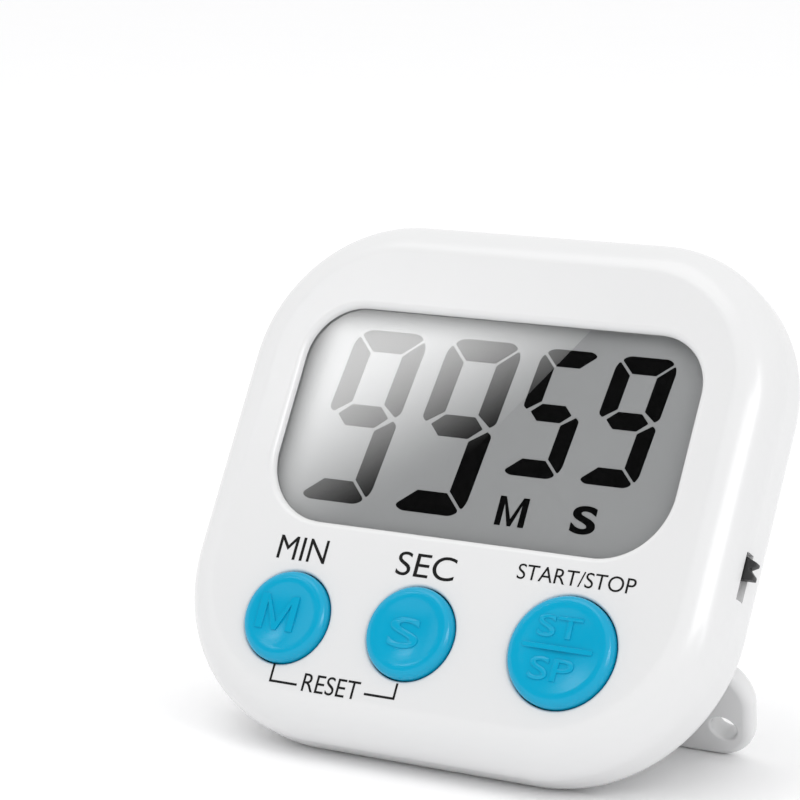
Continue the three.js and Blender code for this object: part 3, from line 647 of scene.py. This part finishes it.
def front_shell():
    shell = kept_behind(case_form(), SEAM_DEPTH + GAP / 2 - SEAM_GAP / 2, True)
    seam = [edge for edge in edges_at(shell, -(SEAM_DEPTH + GAP / 2 - SEAM_GAP / 2))]
    soften(shell, seam, SEAM_EDGE, 3)
    holes = [rod(x, y, radius + HOLE_CLEAR, (-OVER, WALL + OVER)) for x, y, radius in BUTTONS.values()]
    shell = cut(
        shell,
        kept_behind(case_form(WALL), SEAM_DEPTH + OVER, True),
        window_slab(0, (-OVER, WALL + OVER)),
        window_slab(LENS_LAP + GAP, (WINDOW_WALL, WALL + OVER)),
        *slide_cutters(),
        *holes,
    )
    rims = [edge for edge in shell.edges if is_rim(edge)]
    soften(shell, [edge for edge in rims if in_window(edge)], WINDOW_ROUND, 8)
    rims = [edge for edge in shell.edges if is_rim(edge)]
    soften(shell, [edge for edge in rims if not in_window(edge)], HOLE_ROUND, 4)
    return shell


def bosses():
    """Screw bosses inside the front shell."""
    made = []
    for number in range(1, 5):
        low, high = span(f"case_screw_{number}")
        x, y = (low.x + high.x) / 2, (low.y + high.y) / 2
        boss = cut(
            rod(x, y, 2.3, (WALL - 0.1, CASE_DEPTH - 3.2)),
            rod(x, y, 1.2, (WALL + OVER, CASE_DEPTH)),
        )
        made.append(boss)
    return together(*made)


def rear_shell():
    seam_depth = SEAM_DEPTH + GAP / 2 + SEAM_GAP / 2
    outer = kept_behind(case_form(), seam_depth, False)
    soften(outer, edges_at(outer, -seam_depth), SEAM_EDGE, 3)
    plateau_x = TROUGH_X + TROUGH_WALL + PLATEAU_SIDE
    plateau_y = (CELL_Y - TROUGH_Y - TROUGH_WALL - PLATEAU_BELOW, span("magnet_left")[1].y + 2.9)
    plateau = slab(
        (-plateau_x, plateau_x), plateau_y, (INSIDE_BACK + GAP, BACK_DEPTH), (PLATEAU_CORNER,) * 2,
        (0, PLATEAU_ROUND),
    )
    back = joined(outer, plateau)
    corner = [
        edge for edge in back.edges
        if all(abs(vertex.co.z + CASE_DEPTH) < WELD for vertex in edge.verts)
        and edge.calc_face_angle_signed(0) < -SHARP
    ]
    soften(back, corner, 0.8, 5)
    inner = slab(
        (-plateau_x + WALL, plateau_x - WALL), (plateau_y[0] + WALL, plateau_y[1] - WALL),
        (INSIDE_BACK - OVER, BACK_DEPTH - WALL), (PLATEAU_CORNER - WALL,) * 2,
    )
    back = cut(back, kept_behind(case_form(WALL), seam_depth - OVER, False), inner)
    outer_x = TROUGH_X + TROUGH_WALL
    outer_y = TROUGH_Y + TROUGH_WALL
    trough_front = -span("display_reflector")[0].z + GAP
    seat_y = (cover_low.y - GAP - POCKET_WALL, cover_high.y + GAP + POCKET_WALL)
    seat_x = cover_high.x + GAP + POCKET_WALL
    seat_front = COVER_DEPTH - SEAT_DEPTH - GAP
    blocks = [
        slab(
            (-outer_x, outer_x), (CELL_Y - outer_y, CELL_Y + outer_y), (trough_front, BACK_DEPTH - WALL_HALF),
        ),
        slab((-seat_x, seat_x), seat_y, (seat_front, BACK_DEPTH - WALL_HALF), (COVER_CORNER,) * 2),
    ]
    cutters = [
        slab(
            (-TROUGH_X, TROUGH_X), (CELL_Y - TROUGH_Y, CELL_Y + TROUGH_Y),
            (trough_front + TROUGH_WALL, BACK_DEPTH + OVER), (1, 1), corner_steps=6,
        ),
        slab(
            (cover_low.x - COVER_PLAY, cover_high.x + COVER_PLAY),
            (cover_low.y - COVER_PLAY, cover_high.y + COVER_PLAY),
            (COVER_DEPTH - GAP, BACK_DEPTH + OVER), (COVER_CORNER + COVER_PLAY,) * 2,
        ),
    ]
    for node in ("magnet_left", "magnet_right"):
        low, high = span(node)
        blocks.append(
            slab(
                (low.x - POCKET_WALL, high.x + POCKET_WALL), (low.y - POCKET_WALL, high.y + POCKET_WALL),
                (-high.z - GAP - POCKET_WALL, BACK_DEPTH - WALL_HALF),
            )
        )
        cutters.append(
            slab(
                (low.x - 0.15, high.x + 0.15), (low.y - 0.15, high.y + 0.15),
                (-high.z - GAP, BACK_DEPTH + OVER), (0.5, 0.5), corner_steps=6,
            )
        )
    x, y = SOUND_PLACE
    places = [(x, y)]
    for number in range(6):
        angle = number * math.pi / 3
        places.append((x + SOUND_CIRCLE * math.cos(angle), y + SOUND_CIRCLE * math.sin(angle)))
    through = (INSIDE_BACK - OVER, CASE_DEPTH + OVER)
    cutters += [rod(hole_x, hole_y, SOUND_HOLE, through, steps=24) for hole_x, hole_y in places]
    for number in range(1, 5):
        low, high = span(f"case_screw_{number}")
        x, y = (low.x + high.x) / 2, (low.y + high.y) / 2
        head = (high.x - low.x) / 2
        blocks.append(rod(x, y, head + 1.2, (CASE_DEPTH - 2.9, CASE_DEPTH - WALL_HALF)))
        cutters.append(rod(x, y, head + 0.25, (CASE_DEPTH - 1.7, BACK_DEPTH + OVER)))
        cutters.append(rod(x, y, 1.2, (0, CASE_DEPTH), steps=32))
    for side in (-1, 1):
        low, high = span("stand_pin_left" if side < 0 else "stand_pin_right")
        end = high.x if side > 0 else -low.x
        xs = sorted((side * end, side * (end - LUG_WIDTH)))
        foot = slab(xs, (HINGE_Y - LUG_RADIUS, HINGE_Y + LUG_RADIUS), (CASE_DEPTH - WALL_HALF, HINGE_DEPTH))
        blocks += [foot, cross_rod(xs, HINGE_Y, HINGE_DEPTH, LUG_RADIUS)]
    cutters.append(cross_rod((-SIDE, SIDE), HINGE_Y, HINGE_DEPTH, PIN_HOLE))
    back = joined(back, *blocks)
    back = cut(back, *cutters)
    rims = [
        edge for edge in back.edges
        if all(abs(vertex.co.z + BACK_DEPTH) < WELD for vertex in edge.verts)
        and edge.calc_face_angle_signed(0) > math.radians(80)
    ]
    soften(back, rims, 0.25, 3)
    return back


# ---- Display ----
def text_shape(words, weight):
    """Flat lettering as a mesh, heavier or lighter than the plain face."""
    curve = bpy.data.curves.new("words", "FONT")
    curve.body = words
    curve.offset = weight
    curve.resolution_u = 8
    letters = bpy.data.objects.new("words", curve)
    bpy.context.scene.collection.objects.link(letters)
    depsgraph = bpy.context.evaluated_depsgraph_get()
    mesh = bpy.data.meshes.new_from_object(letters.evaluated_get(depsgraph))
    bm = bmesh.new()
    bm.from_mesh(mesh)
    bpy.data.objects.remove(letters)
    bpy.data.curves.remove(curve)
    bpy.data.meshes.remove(mesh)
    bmesh.ops.remove_doubles(bm, verts=bm.verts, dist=WELD)
    return bm


def fitted(bm, xs, ys):
    """Stretches flat lettering to fill a box."""
    low = Vector((min(v.co.x for v in bm.verts), min(v.co.y for v in bm.verts), 0))
    high = Vector((max(v.co.x for v in bm.verts), max(v.co.y for v in bm.verts), 0))
    bmesh.ops.translate(bm, vec=-low, verts=bm.verts)
    scale = ((xs[1] - xs[0]) / (high.x - low.x), (ys[1] - ys[0]) / (high.y - low.y), 1)
    bmesh.ops.scale(bm, vec=scale, verts=bm.verts)
    bmesh.ops.translate(bm, vec=(xs[0], ys[0], 0), verts=bm.verts)
    return bm


def letter_m(xs, ys, stem):
    """A capital M whose middle strokes meet on the line, with upright stems of a given width."""
    middle = (xs[0] + xs[1]) / 2
    slope = 1.15 * stem
    half = [
        (middle, ys[0] + slope, 0), (xs[0] + stem, ys[1], 0), (xs[0], ys[1], 0), (xs[0], ys[0], 0),
        (xs[0] + stem, ys[0], 0), (xs[0] + stem, ys[1] - slope, 0), (middle - 0.3 * stem, ys[0], 0),
    ]
    other = [(2 * middle - x, y, radius) for x, y, radius in reversed(half[1:])]
    return outline(half + other)


def printed(words, xs, ys, weight):
    """A word printed on the face."""
    return thicken(fitted(text_shape(words, weight), xs, ys), (-INK, INK))


def bar(points, width):
    """A printed line through points, square at its corners."""
    strips = []
    for (x0, y0), (x1, y1) in zip(points, points[1:]):
        xs = sorted((x0, x1))
        ys = sorted((y0, y1))
        half = width / 2
        strips.append(slab((xs[0] - half, xs[1] + half), (ys[0] - half, ys[1] + half), (-INK, INK)))
    return joined(*strips)


def segment_shapes(width, height, thick, gap):
    """The seven bars of a digit as outlines of (x, y, rounding), from a lower left corner."""
    middle = height / 2
    half = thick / 2
    reach = gap * 0.75
    tip = thick * 0.42
    soft = thick * 0.26
    top = [
        (reach + tip, height, soft), (width - reach - tip, height, soft),
        (width - reach - tip * 0.4, height - tip * 0.6, soft * 0.5),
        (width - thick - reach, height - thick, 0), (thick + reach, height - thick, 0),
        (reach + tip * 0.4, height - tip * 0.6, soft * 0.5),
    ]
    centre = [
        (reach + half * 0.9, middle, 0.15), (thick + reach, middle + half, 0.1),
        (width - thick - reach, middle + half, 0.1), (width - reach - half * 0.9, middle, 0.15),
        (width - thick - reach, middle - half, 0.1), (thick + reach, middle - half, 0.1),
    ]
    upper_left = [
        (0, middle + gap + half * 0.3, soft * 0.5), (half * 0.5, middle + gap * 0.8, 0.1),
        (thick, middle + half + gap, 0), (thick, height - thick - reach, 0),
        (tip * 0.4, height - reach - tip * 0.6, soft * 0.4), (0, height - reach - tip * 1.3, soft * 0.8),
    ]
    mirror_x = lambda points: [(width - x, y, r) for x, y, r in reversed(points)]
    mirror_y = lambda points: [(x, height - y, r) for x, y, r in reversed(points)]
    return {
        "top": top,
        "centre": centre,
        "bottom": mirror_y(top),
        "upper_left": upper_left,
        "upper_right": mirror_x(upper_left),
        "lower_left": mirror_y(upper_left),
        "lower_right": mirror_x(mirror_y(upper_left)),
    }


LIT = {
    "5": ("top", "upper_left", "centre", "lower_right", "bottom"),
    "9": ("top", "upper_left", "upper_right", "centre", "lower_right", "bottom"),
}
SLANT = math.tan(math.radians(6.2))
SEGMENT_DEPTH = (GLASS_DEPTH - 0.03, GLASS_DEPTH + 0.02)


def digit(figure, left, ys, width, thick, gap):
    shapes = segment_shapes(width, ys[1] - ys[0], thick, gap)
    bars = []
    for name in LIT[figure]:
        flat = outline([(x, y, r) for x, y, r in shapes[name]], 4)
        for vert in flat.verts:
            vert.co.x += left + SLANT * (vert.co.y + ys[0])
            vert.co.y += ys[0]
        bars.append(thicken(flat, SEGMENT_DEPTH))
    return together(*bars)


# ---- Buttons ----
def dish_depth(radius, distance):
    """Depth of a button's face at a distance from its axis."""
    crown = shell_high.z - BUTTON_PROUD
    inner = radius - BUTTON_RIM - 0.5
    return crown + BUTTON_DISH * max(0.0, 1 - (distance / inner) ** 2)


BUTTON_PROUD = span("min_button")[1].z
BUTTON_BACK = -span("min_button")[0].z


def button_cap(radius):
    inner = radius - BUTTON_RIM - 0.5
    rings = [(inner * step / 8, dish_depth(radius, inner * step / 8), 0) for step in range(8)]
    return turned([
        *rings,
        (inner, -BUTTON_PROUD, 0.3),
        (radius - 0.02, -BUTTON_PROUD, 0.95),
        (radius, WALL + GAP, 0.1),
        (radius + BUTTON_FLANGE, WALL + GAP, 0.15),
        (radius + BUTTON_FLANGE, BUTTON_BACK, 0.15),
        (0, BUTTON_BACK, 0),
    ])


def raised(shapes, x, y, radius):
    """Letters standing a little above a button's dished face."""
    letters = thicken(together(*shapes), (-LETTER_RISE, LETTER_RISE))
    top = [edge for edge in edges_at(letters, LETTER_RISE) if edge.calc_face_angle(0) > SHARP]
    soften(letters, top, 0.06, 2)
    for vert in letters.verts:
        distance = math.hypot(vert.co.x - x, vert.co.y - y)
        vert.co.z -= dish_depth(radius, distance)
    return letters


# ---- Stand, switch, cover and hardware ----
def stand_plate():
    low, high = span("stand", (CASE @ STAND).inverted())
    length = -low.y
    half = [
        (STAND_TONGUE, STAND_THICK / 2, 1.2), (STAND_TONGUE, -STAND_NECK, 0.4),
        (STAND_NECK_SIDE, -STAND_NECK, 2.5), (high.x, -STAND_SHOULDER_AT * length, 3.0),
        (STAND_FOOT, -length, 4.6), (STAND_ARCH_FOOT, -length, 2.0), (STAND_ARCH, STAND_RISE - length, 2.0),
    ]
    other = [(-x, y, radius) for x, y, radius in reversed(half)]
    plate = outline(half[::-1] + other[::-1], 12)
    thicken(plate, (-STAND_THICK / 2, STAND_THICK / 2), (STAND_ROUND, STAND_ROUND), 8)
    hole_y = STAND_HOLE_FROM_FOOT - length
    holes = [
        rod(side * STAND_HOLE_SIDE, hole_y, STAND_HOLE, (-STAND_THICK, STAND_THICK), steps=48)
        for side in (-1, 1)
    ]
    pin_holes = [
        cross_rod(sorted((side * 16.2, side * 21)), 0, 0, PIN_HOLE, steps=32) for side in (-1, 1)
    ]
    plate = cut(plate, *holes, *pin_holes)
    rims = [
        edge for edge in plate.edges
        if abs(abs(edge.verts[0].co.z) - STAND_THICK / 2) < WELD
        and abs(abs(edge.verts[1].co.z) - STAND_THICK / 2) < WELD and edge.calc_face_angle(0) > SHARP
    ]
    soften(plate, rims, 0.35, 4)
    return plate


def knob():
    """Two ridges with a notch between them, on a stem that goes in to the switch."""
    base = SIDE - RECESS_FLOOR + GAP
    tip = SIDE + KNOB_PROUD
    half = KNOB_HALF
    profile = [
        (base, -half, 0), (tip, -half, 0.12), (tip, -1.0, 0.12), (tip - KNOB_NOTCH, -0.15, 0.1),
        (tip, 0.3, 0.12),
        (tip, 0.7, 0.12), (base, half, 0),
    ]
    cap = thicken(outline(profile, 3), (-knob_high.z, -knob_low.z), (0.12, 0.12), 3)
    shifted(cap, y=KNOB_Y)
    stem = slab((knob_low.x, base + GAP), (KNOB_Y - STEM_HEIGHT / 2, KNOB_Y + STEM_HEIGHT / 2), (4.52, 5.5))
    return joined(cap, stem)


def battery_cover():
    xs = (cover_low.x, cover_high.x)
    ys = (cover_low.y, cover_high.y)
    plate = slab(xs, ys, (COVER_DEPTH, BACK_DEPTH), (COVER_CORNER,) * 2, (0.15, 0.3), 4)
    ribs = [
        slab(sorted((side * (TROUGH_X - GAP), side * (TROUGH_X - GAP - 1))), (CELL_Y - 4, CELL_Y + 4),
             (COVER_DEPTH - SEAT_DEPTH, COVER_DEPTH + GAP))
        for side in (-1, 1)
    ]
    groove = rod(cover_high.x - 5, CELL_Y, 3, (BACK_DEPTH - 0.6, BACK_DEPTH + OVER), 3.5, 48)
    grips = [
        cross_rod((cover_high.x - 13, cover_high.x - 9.5), CELL_Y + offset, BACK_DEPTH - 0.05, 0.22, 0.1, 16)
        for offset in (-3, -1.5, 0, 1.5, 3)
    ]
    whole = joined(plate, *ribs)
    return cut(whole, groove, *grips)


def screw(node):
    """A pan head with a cross slot, and its threaded shaft."""
    low, high = span(node)
    x, y = (low.x + high.x) / 2, (low.y + high.y) / 2
    head = (high.x - low.x) / 2
    back = -low.z
    thick = 1.3 if head > 1.8 else 1.0
    shaft = 0.9 if head > 1.8 else 0.8
    under = back - thick
    front = -high.z
    pitch = 0.55
    turns = int((under - front - 1) / pitch)
    thread = []
    for number in range(turns):
        start = front + 0.8 + number * pitch
        thread += [(shaft - 0.16, start, 0), (shaft, start + pitch / 2, 0)]
    body = turned([(0, front, 0), (shaft * 0.5, front + 0.1, 0), *thread, (shaft - 0.12, under, 0),
                   (head, under, 0.15), (head, back, 0.45), (0, back, 0)], 40, 4)
    reach = 0.62 * head
    slot = 0.2 * head
    body = cut(
        body,
        slab((-reach, reach), (-slot, slot), (back - 0.65, back + OVER)),
        slab((-slot, slot), (-reach, reach), (back - 0.65, back + OVER)),
    )
    return shifted(body, x, y)


def cell():
    """The cell: sleeve with rounded ends, an end ring, and the nub."""
    radius = (cell_high.y - cell_low.y) / 2
    nub = NUB_LENGTH
    profile = [
        (0, 0, 0), (NUB_RADIUS, 0, 0.3), (NUB_RADIUS, nub, 0.1), (3.6, nub, 0.1), (3.9, nub + 0.25, 0.1),
        (4.3, nub, 0.1),
        (radius, nub, 0.5), (radius, cell_high.x - cell_low.x, 0.6), (3.6, cell_high.x - cell_low.x, 0.1),
        (3.2, cell_high.x - cell_low.x - 0.2, 0.1), (0, cell_high.x - cell_low.x - 0.2, 0),
    ]
    body = turned(profile)
    bmesh.ops.rotate(body, matrix=Matrix.Rotation(math.pi / 2, 3, "Y"), verts=body.verts)
    return shifted(body, cell_high.x, CELL_Y, (cell_low.z + cell_high.z) / 2)


def spring():
    """The coil behind the cell's flat end, narrowing along its length."""
    low, high = span("battery_spring")
    radius = SPRING_WIRE / 2
    ring = bmesh.new()
    bmesh.ops.create_circle(ring, cap_ends=False, segments=12, radius=radius)
    outer = (high.y - low.y) / 2 - radius
    bmesh.ops.rotate(ring, matrix=Matrix.Rotation(math.pi / 2, 3, "X"), verts=ring.verts)
    bmesh.ops.translate(ring, vec=(outer, 0, 0), verts=ring.verts)
    turns = SPRING_TURNS
    steps = turns * 32
    rise = (high.x - low.x - 2 * radius) / steps
    start = ring.edges[:]
    bmesh.ops.spin(
        ring, geom=ring.verts[:] + start, axis=(0, 0, 1), cent=(0, 0, 0), dvec=(0, 0, rise),
        angle=turns * 2 * math.pi, steps=steps,
    )
    ends = [edge for edge in ring.edges if edge.is_boundary]
    bmesh.ops.holes_fill(ring, edges=ends)
    low_z = min(vert.co.z for vert in ring.verts)
    height = max(vert.co.z for vert in ring.verts) - low_z
    for vert in ring.verts:
        share = (vert.co.z - low_z) / height
        vert.co.xy *= 1 - SPRING_TAPER * share
    bmesh.ops.recalc_face_normals(ring, faces=ring.faces)
    bmesh.ops.rotate(ring, matrix=Matrix.Rotation(math.pi / 2, 3, "Y"), verts=ring.verts)
    return shifted(ring, low.x + radius, CELL_Y, (cell_low.z + cell_high.z) / 2)


# ---- Assembly ----
settle(front_shell(), "case_front", finishes["white"], "case", ["front_shell"])
settle(bosses(), "screw_bosses", finishes["white"], "case")
settle(rear_shell(), "case_back", finishes["white"], "case", ["rear_shell"])

settle(
    window_slab(LENS_LAP, (LENS_DEPTH, LENS_DEPTH + 1)), "window_lens", finishes["lens"], "case",
    ["display_lens"],
)
display_panel = slab(
    (glass_low.x, glass_high.x), (glass_low.y, glass_high.y), (GLASS_DEPTH, -glass_low.z),
    (GLASS_CORNER,) * 2,
    (0.1, 0.1), 3,
)
settle(display_panel, "display_panel", finishes["field"], "case", ["display_glass"])
LARGE = {"ys": (-4.45, 19.6), "width": 10.9, "thick": 3.0, "gap": 0.36}
SMALL = {"ys": (2.0, 19.4), "width": 8.5, "thick": 2.35, "gap": 0.32}
DIGITS = [("9", -24.9, LARGE), ("9", -10.75, LARGE), ("5", 3.0, SMALL), ("9", 13.8, SMALL)]
for number, (figure, left, sizes) in enumerate(DIGITS, 1):
    settle(digit(figure, left, **sizes), f"display_digit_{number}", finishes["segment"], "case",
           flat=True)
LABELS = {
    "M": letter_m((4.45, 8.65), (-4.75, -0.85), 0.85),
    "S": fitted(text_shape("S", LABEL_WEIGHT), (15.0, 18.5), (-4.6, -0.85)),
}
for words, shape in LABELS.items():
    label = thicken(shape, SEGMENT_DEPTH)
    settle(label, f"display_label_{words}", finishes["segment"], "case", flat=True)

LEGENDS = [
    ("minutes", "MIN", (-24.3, -17.0), (-13.5, -10.35)),
    ("seconds", "SEC", (-6.4, 2.06), (-13.5, -10.35)),
    ("start_stop", "START/STOP", (10.7, 27.0), (-11.85, -9.85)),
    ("reset", "RESET", (-15.25, -6.9), (-30.3, -27.9)),
]
for name, words, xs, ys in LEGENDS:
    legend = printed(words, xs, ys, LEGEND_WEIGHT)
    settle(legend, "legend_" + name, finishes["ink"], "case", flat=True)
for name, points in (
    ("left", [(-20.07, -27.55), (-20.07, -29.6), (-16.2, -29.6)]),
    ("right", [(-5.95, -29.35), (-1.8, -29.35), (-1.8, -27.5)]),
):
    bracket = bar(points, BRACKET_WIDTH)
    settle(bracket, "bracket_" + name, finishes["ink"], "case", flat=True)

BUTTON_BODIES = {"min": "minute_button", "sec": "second_button", "start_stop": "start_stop_button"}
for name, (x, y, radius) in BUTTONS.items():
    node = name + "_button"
    cap = shifted(button_cap(radius), x, y)
    settle(cap, name + "_cap", finishes["teal"], BUTTON_BODIES[name], [node])
LETTERS = [
    ("min", "M", letter_m((-24.0, -18.5), (-23.2, -18.5), 1.0)),
    ("sec", "S", fitted(text_shape("S", RAISED_WEIGHT), (-4.5, -0.2), (-23.0, -19.0))),
    ("start_stop", "ST", fitted(text_shape("ST", RAISED_WEIGHT), (15.8, 21.8), (-18.8, -16.0))),
    ("start_stop", "SP", fitted(text_shape("SP", RAISED_WEIGHT), (16.0, 21.9), (-24.3, -21.3))),
]
for name, words, shape in LETTERS:
    x, y, radius = BUTTONS[name]
    letters = raised([shape], x, y, radius)
    settle(letters, f"raised_{words}", finishes["teal"], BUTTON_BODIES[name])
x, y, radius = BUTTONS["start_stop"]
divider_corners = [(14.3, -20.4, 0.3), (24.0, -20.4, 0.3), (24.0, -19.75, 0.3), (14.3, -19.75, 0.3)]
divider = raised([outline(divider_corners, 4)], x, y, radius)
settle(divider, "raised_divider", finishes["teal"], "start_stop_button")

settle(knob(), "slide_knob", finishes["black"], "power_knob", ["power_switch_knob"])
settle(stand_plate(), "folding_stand", finishes["white"], "stand", ["stand"], CASE @ STAND)
settle(battery_cover(), "cell_cover", finishes["white"], "battery_cover", ["battery_cover"])
for side in ("left", "right"):
    low, high = span("magnet_" + side)
    bar_magnet = slab((low.x, high.x), (low.y, high.y), (-high.z, -low.z), (0.4, 0.4), (0.25, 0.25), 3, 4)
    settle(bar_magnet, "bar_magnet_" + side, finishes["magnet"], "case", ["magnet_" + side])
    low, high = span("stand_pin_" + side)
    pin = cross_rod((low.x, high.x), HINGE_Y, HINGE_DEPTH, PIN_RADIUS, 0.2, 32)
    settle(pin, "hinge_pin_" + side, finishes["steel"], "case", ["stand_pin_" + side])
for node in [f"case_screw_{n}" for n in range(1, 5)] + [f"board_screw_{n}" for n in range(1, 4)]:
    piece_name = node.replace("_screw_", "_screw_piece_")
    settle(screw(node), piece_name, finishes["steel"], "case", [node])
settle(cell(), "cell", finishes["sleeve"], "case", ["battery_cell"])
settle(spring(), "cell_spring", finishes["steel"], "case", ["battery_spring"])

CARRIED = {
    "display_reflector": "foil", "display_holder": "white", "connector_strip": "strip", "main_board": "board",
    "chip_resin": "black", "crystal_can": "steel", "capacitor_1": "ceramic", "capacitor_2": "ceramic",
    "resistor_1": "black", "power_switch_body": "steel", "power_switch_lever": "black",
    "positive_contact": "steel", "negative_contact": "steel", "buzzer_disc": "brass",
    "buzzer_ceramic": "ceramic", "buzzer_wire_red": "red", "buzzer_wire_black": "black",
}
for name in BUTTONS:
    CARRIED[name + "_switch_body"] = "black"
    CARRIED[name + "_switch_plunger"] = "rubber"
for node, finish in CARRIED.items():
    materials = frame["nodes"][node].data.materials
    materials.clear()
    materials.append(finishes[finish])


# ---- Camera, floor and light ----
def aimed(obj, place, target):
    obj.location = place
    obj.rotation_mode = "QUATERNION"
    obj.rotation_quaternion = (Vector(target) - Vector(place)).to_track_quat("-Z", "Y")
    bpy.context.scene.collection.objects.link(obj)
    return obj


CAMERA_PLACE = Vector((0.18905, -0.33871, 0.11637))
VIEW_DIRECTION = Vector((-0.505, 0.8435, -0.181))
VIEW_DISTANCE = 0.39
FOCAL_LENGTH = 138.9
AIM = CAMERA_PLACE + VIEW_DISTANCE * VIEW_DIRECTION
camera = bpy.data.cameras.new("camera")
camera.lens = FOCAL_LENGTH
camera.sensor_width = 36
bpy.context.scene.camera = aimed(bpy.data.objects.new("camera", camera), CAMERA_PLACE, AIM)
bpy.context.scene.view_settings.view_transform = "Standard"


def area_light(name, place, size, strength, target=(0, 0, 0.03)):
    light = bpy.data.lights.new(name, "AREA")
    light.shape = "RECTANGLE"
    light.size, light.size_y = size
    light.energy = strength
    return aimed(bpy.data.objects.new(name, light), place, target)


STREAK_PLACE = (0.54, -0.48, 0.54)
area_light("key_light", (0.75, -0.35, 0.55), (0.12, 0.7), 1.3)
area_light("top_light", (-0.25, -0.2, 0.9), (0.5, 0.5), 1.2)
streak = area_light("streak_light", STREAK_PLACE, (0.42, 0.25), 1.8)
streak.visible_diffuse = False

world = bpy.data.worlds.new("studio")
world.use_nodes = True
world.node_tree.nodes["Background"].inputs["Color"].default_value = colour(1, 1, 1)
world.node_tree.nodes["Background"].inputs["Strength"].default_value = 1.0
bpy.context.scene.world = world


def staged(bm, name, material, matrix=None):
    mesh = bpy.data.meshes.new(name)
    bm.to_mesh(mesh)
    bm.free()
    mesh.materials.append(material)
    obj = bpy.data.objects.new(name, mesh)
    bpy.context.scene.collection.objects.link(obj)
    if matrix:
        obj.matrix_world = matrix
    return obj


def pale_floor():
    finish = Finish("floor")
    grain = finish.noise(40, 2)
    return finish.finished(
        Base_Color=finish.mixed(grain, colour(0.965, 0.965, 0.97), colour(0.975, 0.975, 0.98)),
        Roughness=0.85,
    )


floor = bmesh.new()
bmesh.ops.create_grid(floor, x_segments=1, y_segments=1, size=6.0)
staged(floor, "floor", pale_floor())


def glow_card():
    """A soft box that shows in the lens: bright towards its upper left, with one straight edge."""
    finish = Finish("reflection_card")
    place = finish.node("ShaderNodeTexCoord", output="Object")
    x = finish.node("ShaderNodeSeparateXYZ", values={"Vector": place}, output="X")
    y = finish.node("ShaderNodeSeparateXYZ", values={"Vector": place}, output="Y")
    fade = finish.ramp(y - 0.73 * x, 4, 32)
    left = finish.ramp(x, -29.5, -24) * 0.8 + 0.2
    top = finish.ramp(y, 23, 18) * 0.8 + 0.2
    emission = finish.node(
        "ShaderNodeEmission", values={"Color": colour(1, 1, 1), "Strength": fade * left * top * 8.0}
    )
    finish.node("ShaderNodeOutputMaterial", values={"Surface": emission})
    return finish.material


def black_card():
    finish = Finish("black_card")
    return finish.finished(Base_Color=colour(0, 0, 0), Roughness=1.0, Specular_IOR_Level=0.0)


CARD_HEIGHT = 300  # millimetres above the face
FLAG_HEIGHT = 310


def mirrored_place(height):
    """Where the lens shows a card that lies parallel to it, drawn in the lens's own millimetres."""
    eye = TO_CASE @ CAMERA_PLACE
    behind = Vector((eye.x, eye.y, -2 * LENS_DEPTH - eye.z))
    scale = (height - behind.z) / (-LENS_DEPTH - behind.z)
    corner = behind + (Vector((0, 0, -LENS_DEPTH)) - behind) * scale
    return CASE @ Matrix.Translation(corner) @ Matrix.Diagonal((scale, scale, 1, 1))


glow_corners = [(-34, -14, 0), (-13.0, -14, 0), (14.3, 26, 0), (-34, 26, 0)]
card = staged(outline(glow_corners), "reflection_card", glow_card(), mirrored_place(CARD_HEIGHT))
flag_corners = [(-60, -50, 0), (60, -50, 0), (60, 50, 0), (-60, 50, 0)]
flag = staged(outline(flag_corners), "black_card", black_card(), mirrored_place(FLAG_HEIGHT))
for obj in (card, flag):
    obj.visible_camera = False
    obj.visible_diffuse = False
    obj.visible_shadow = False
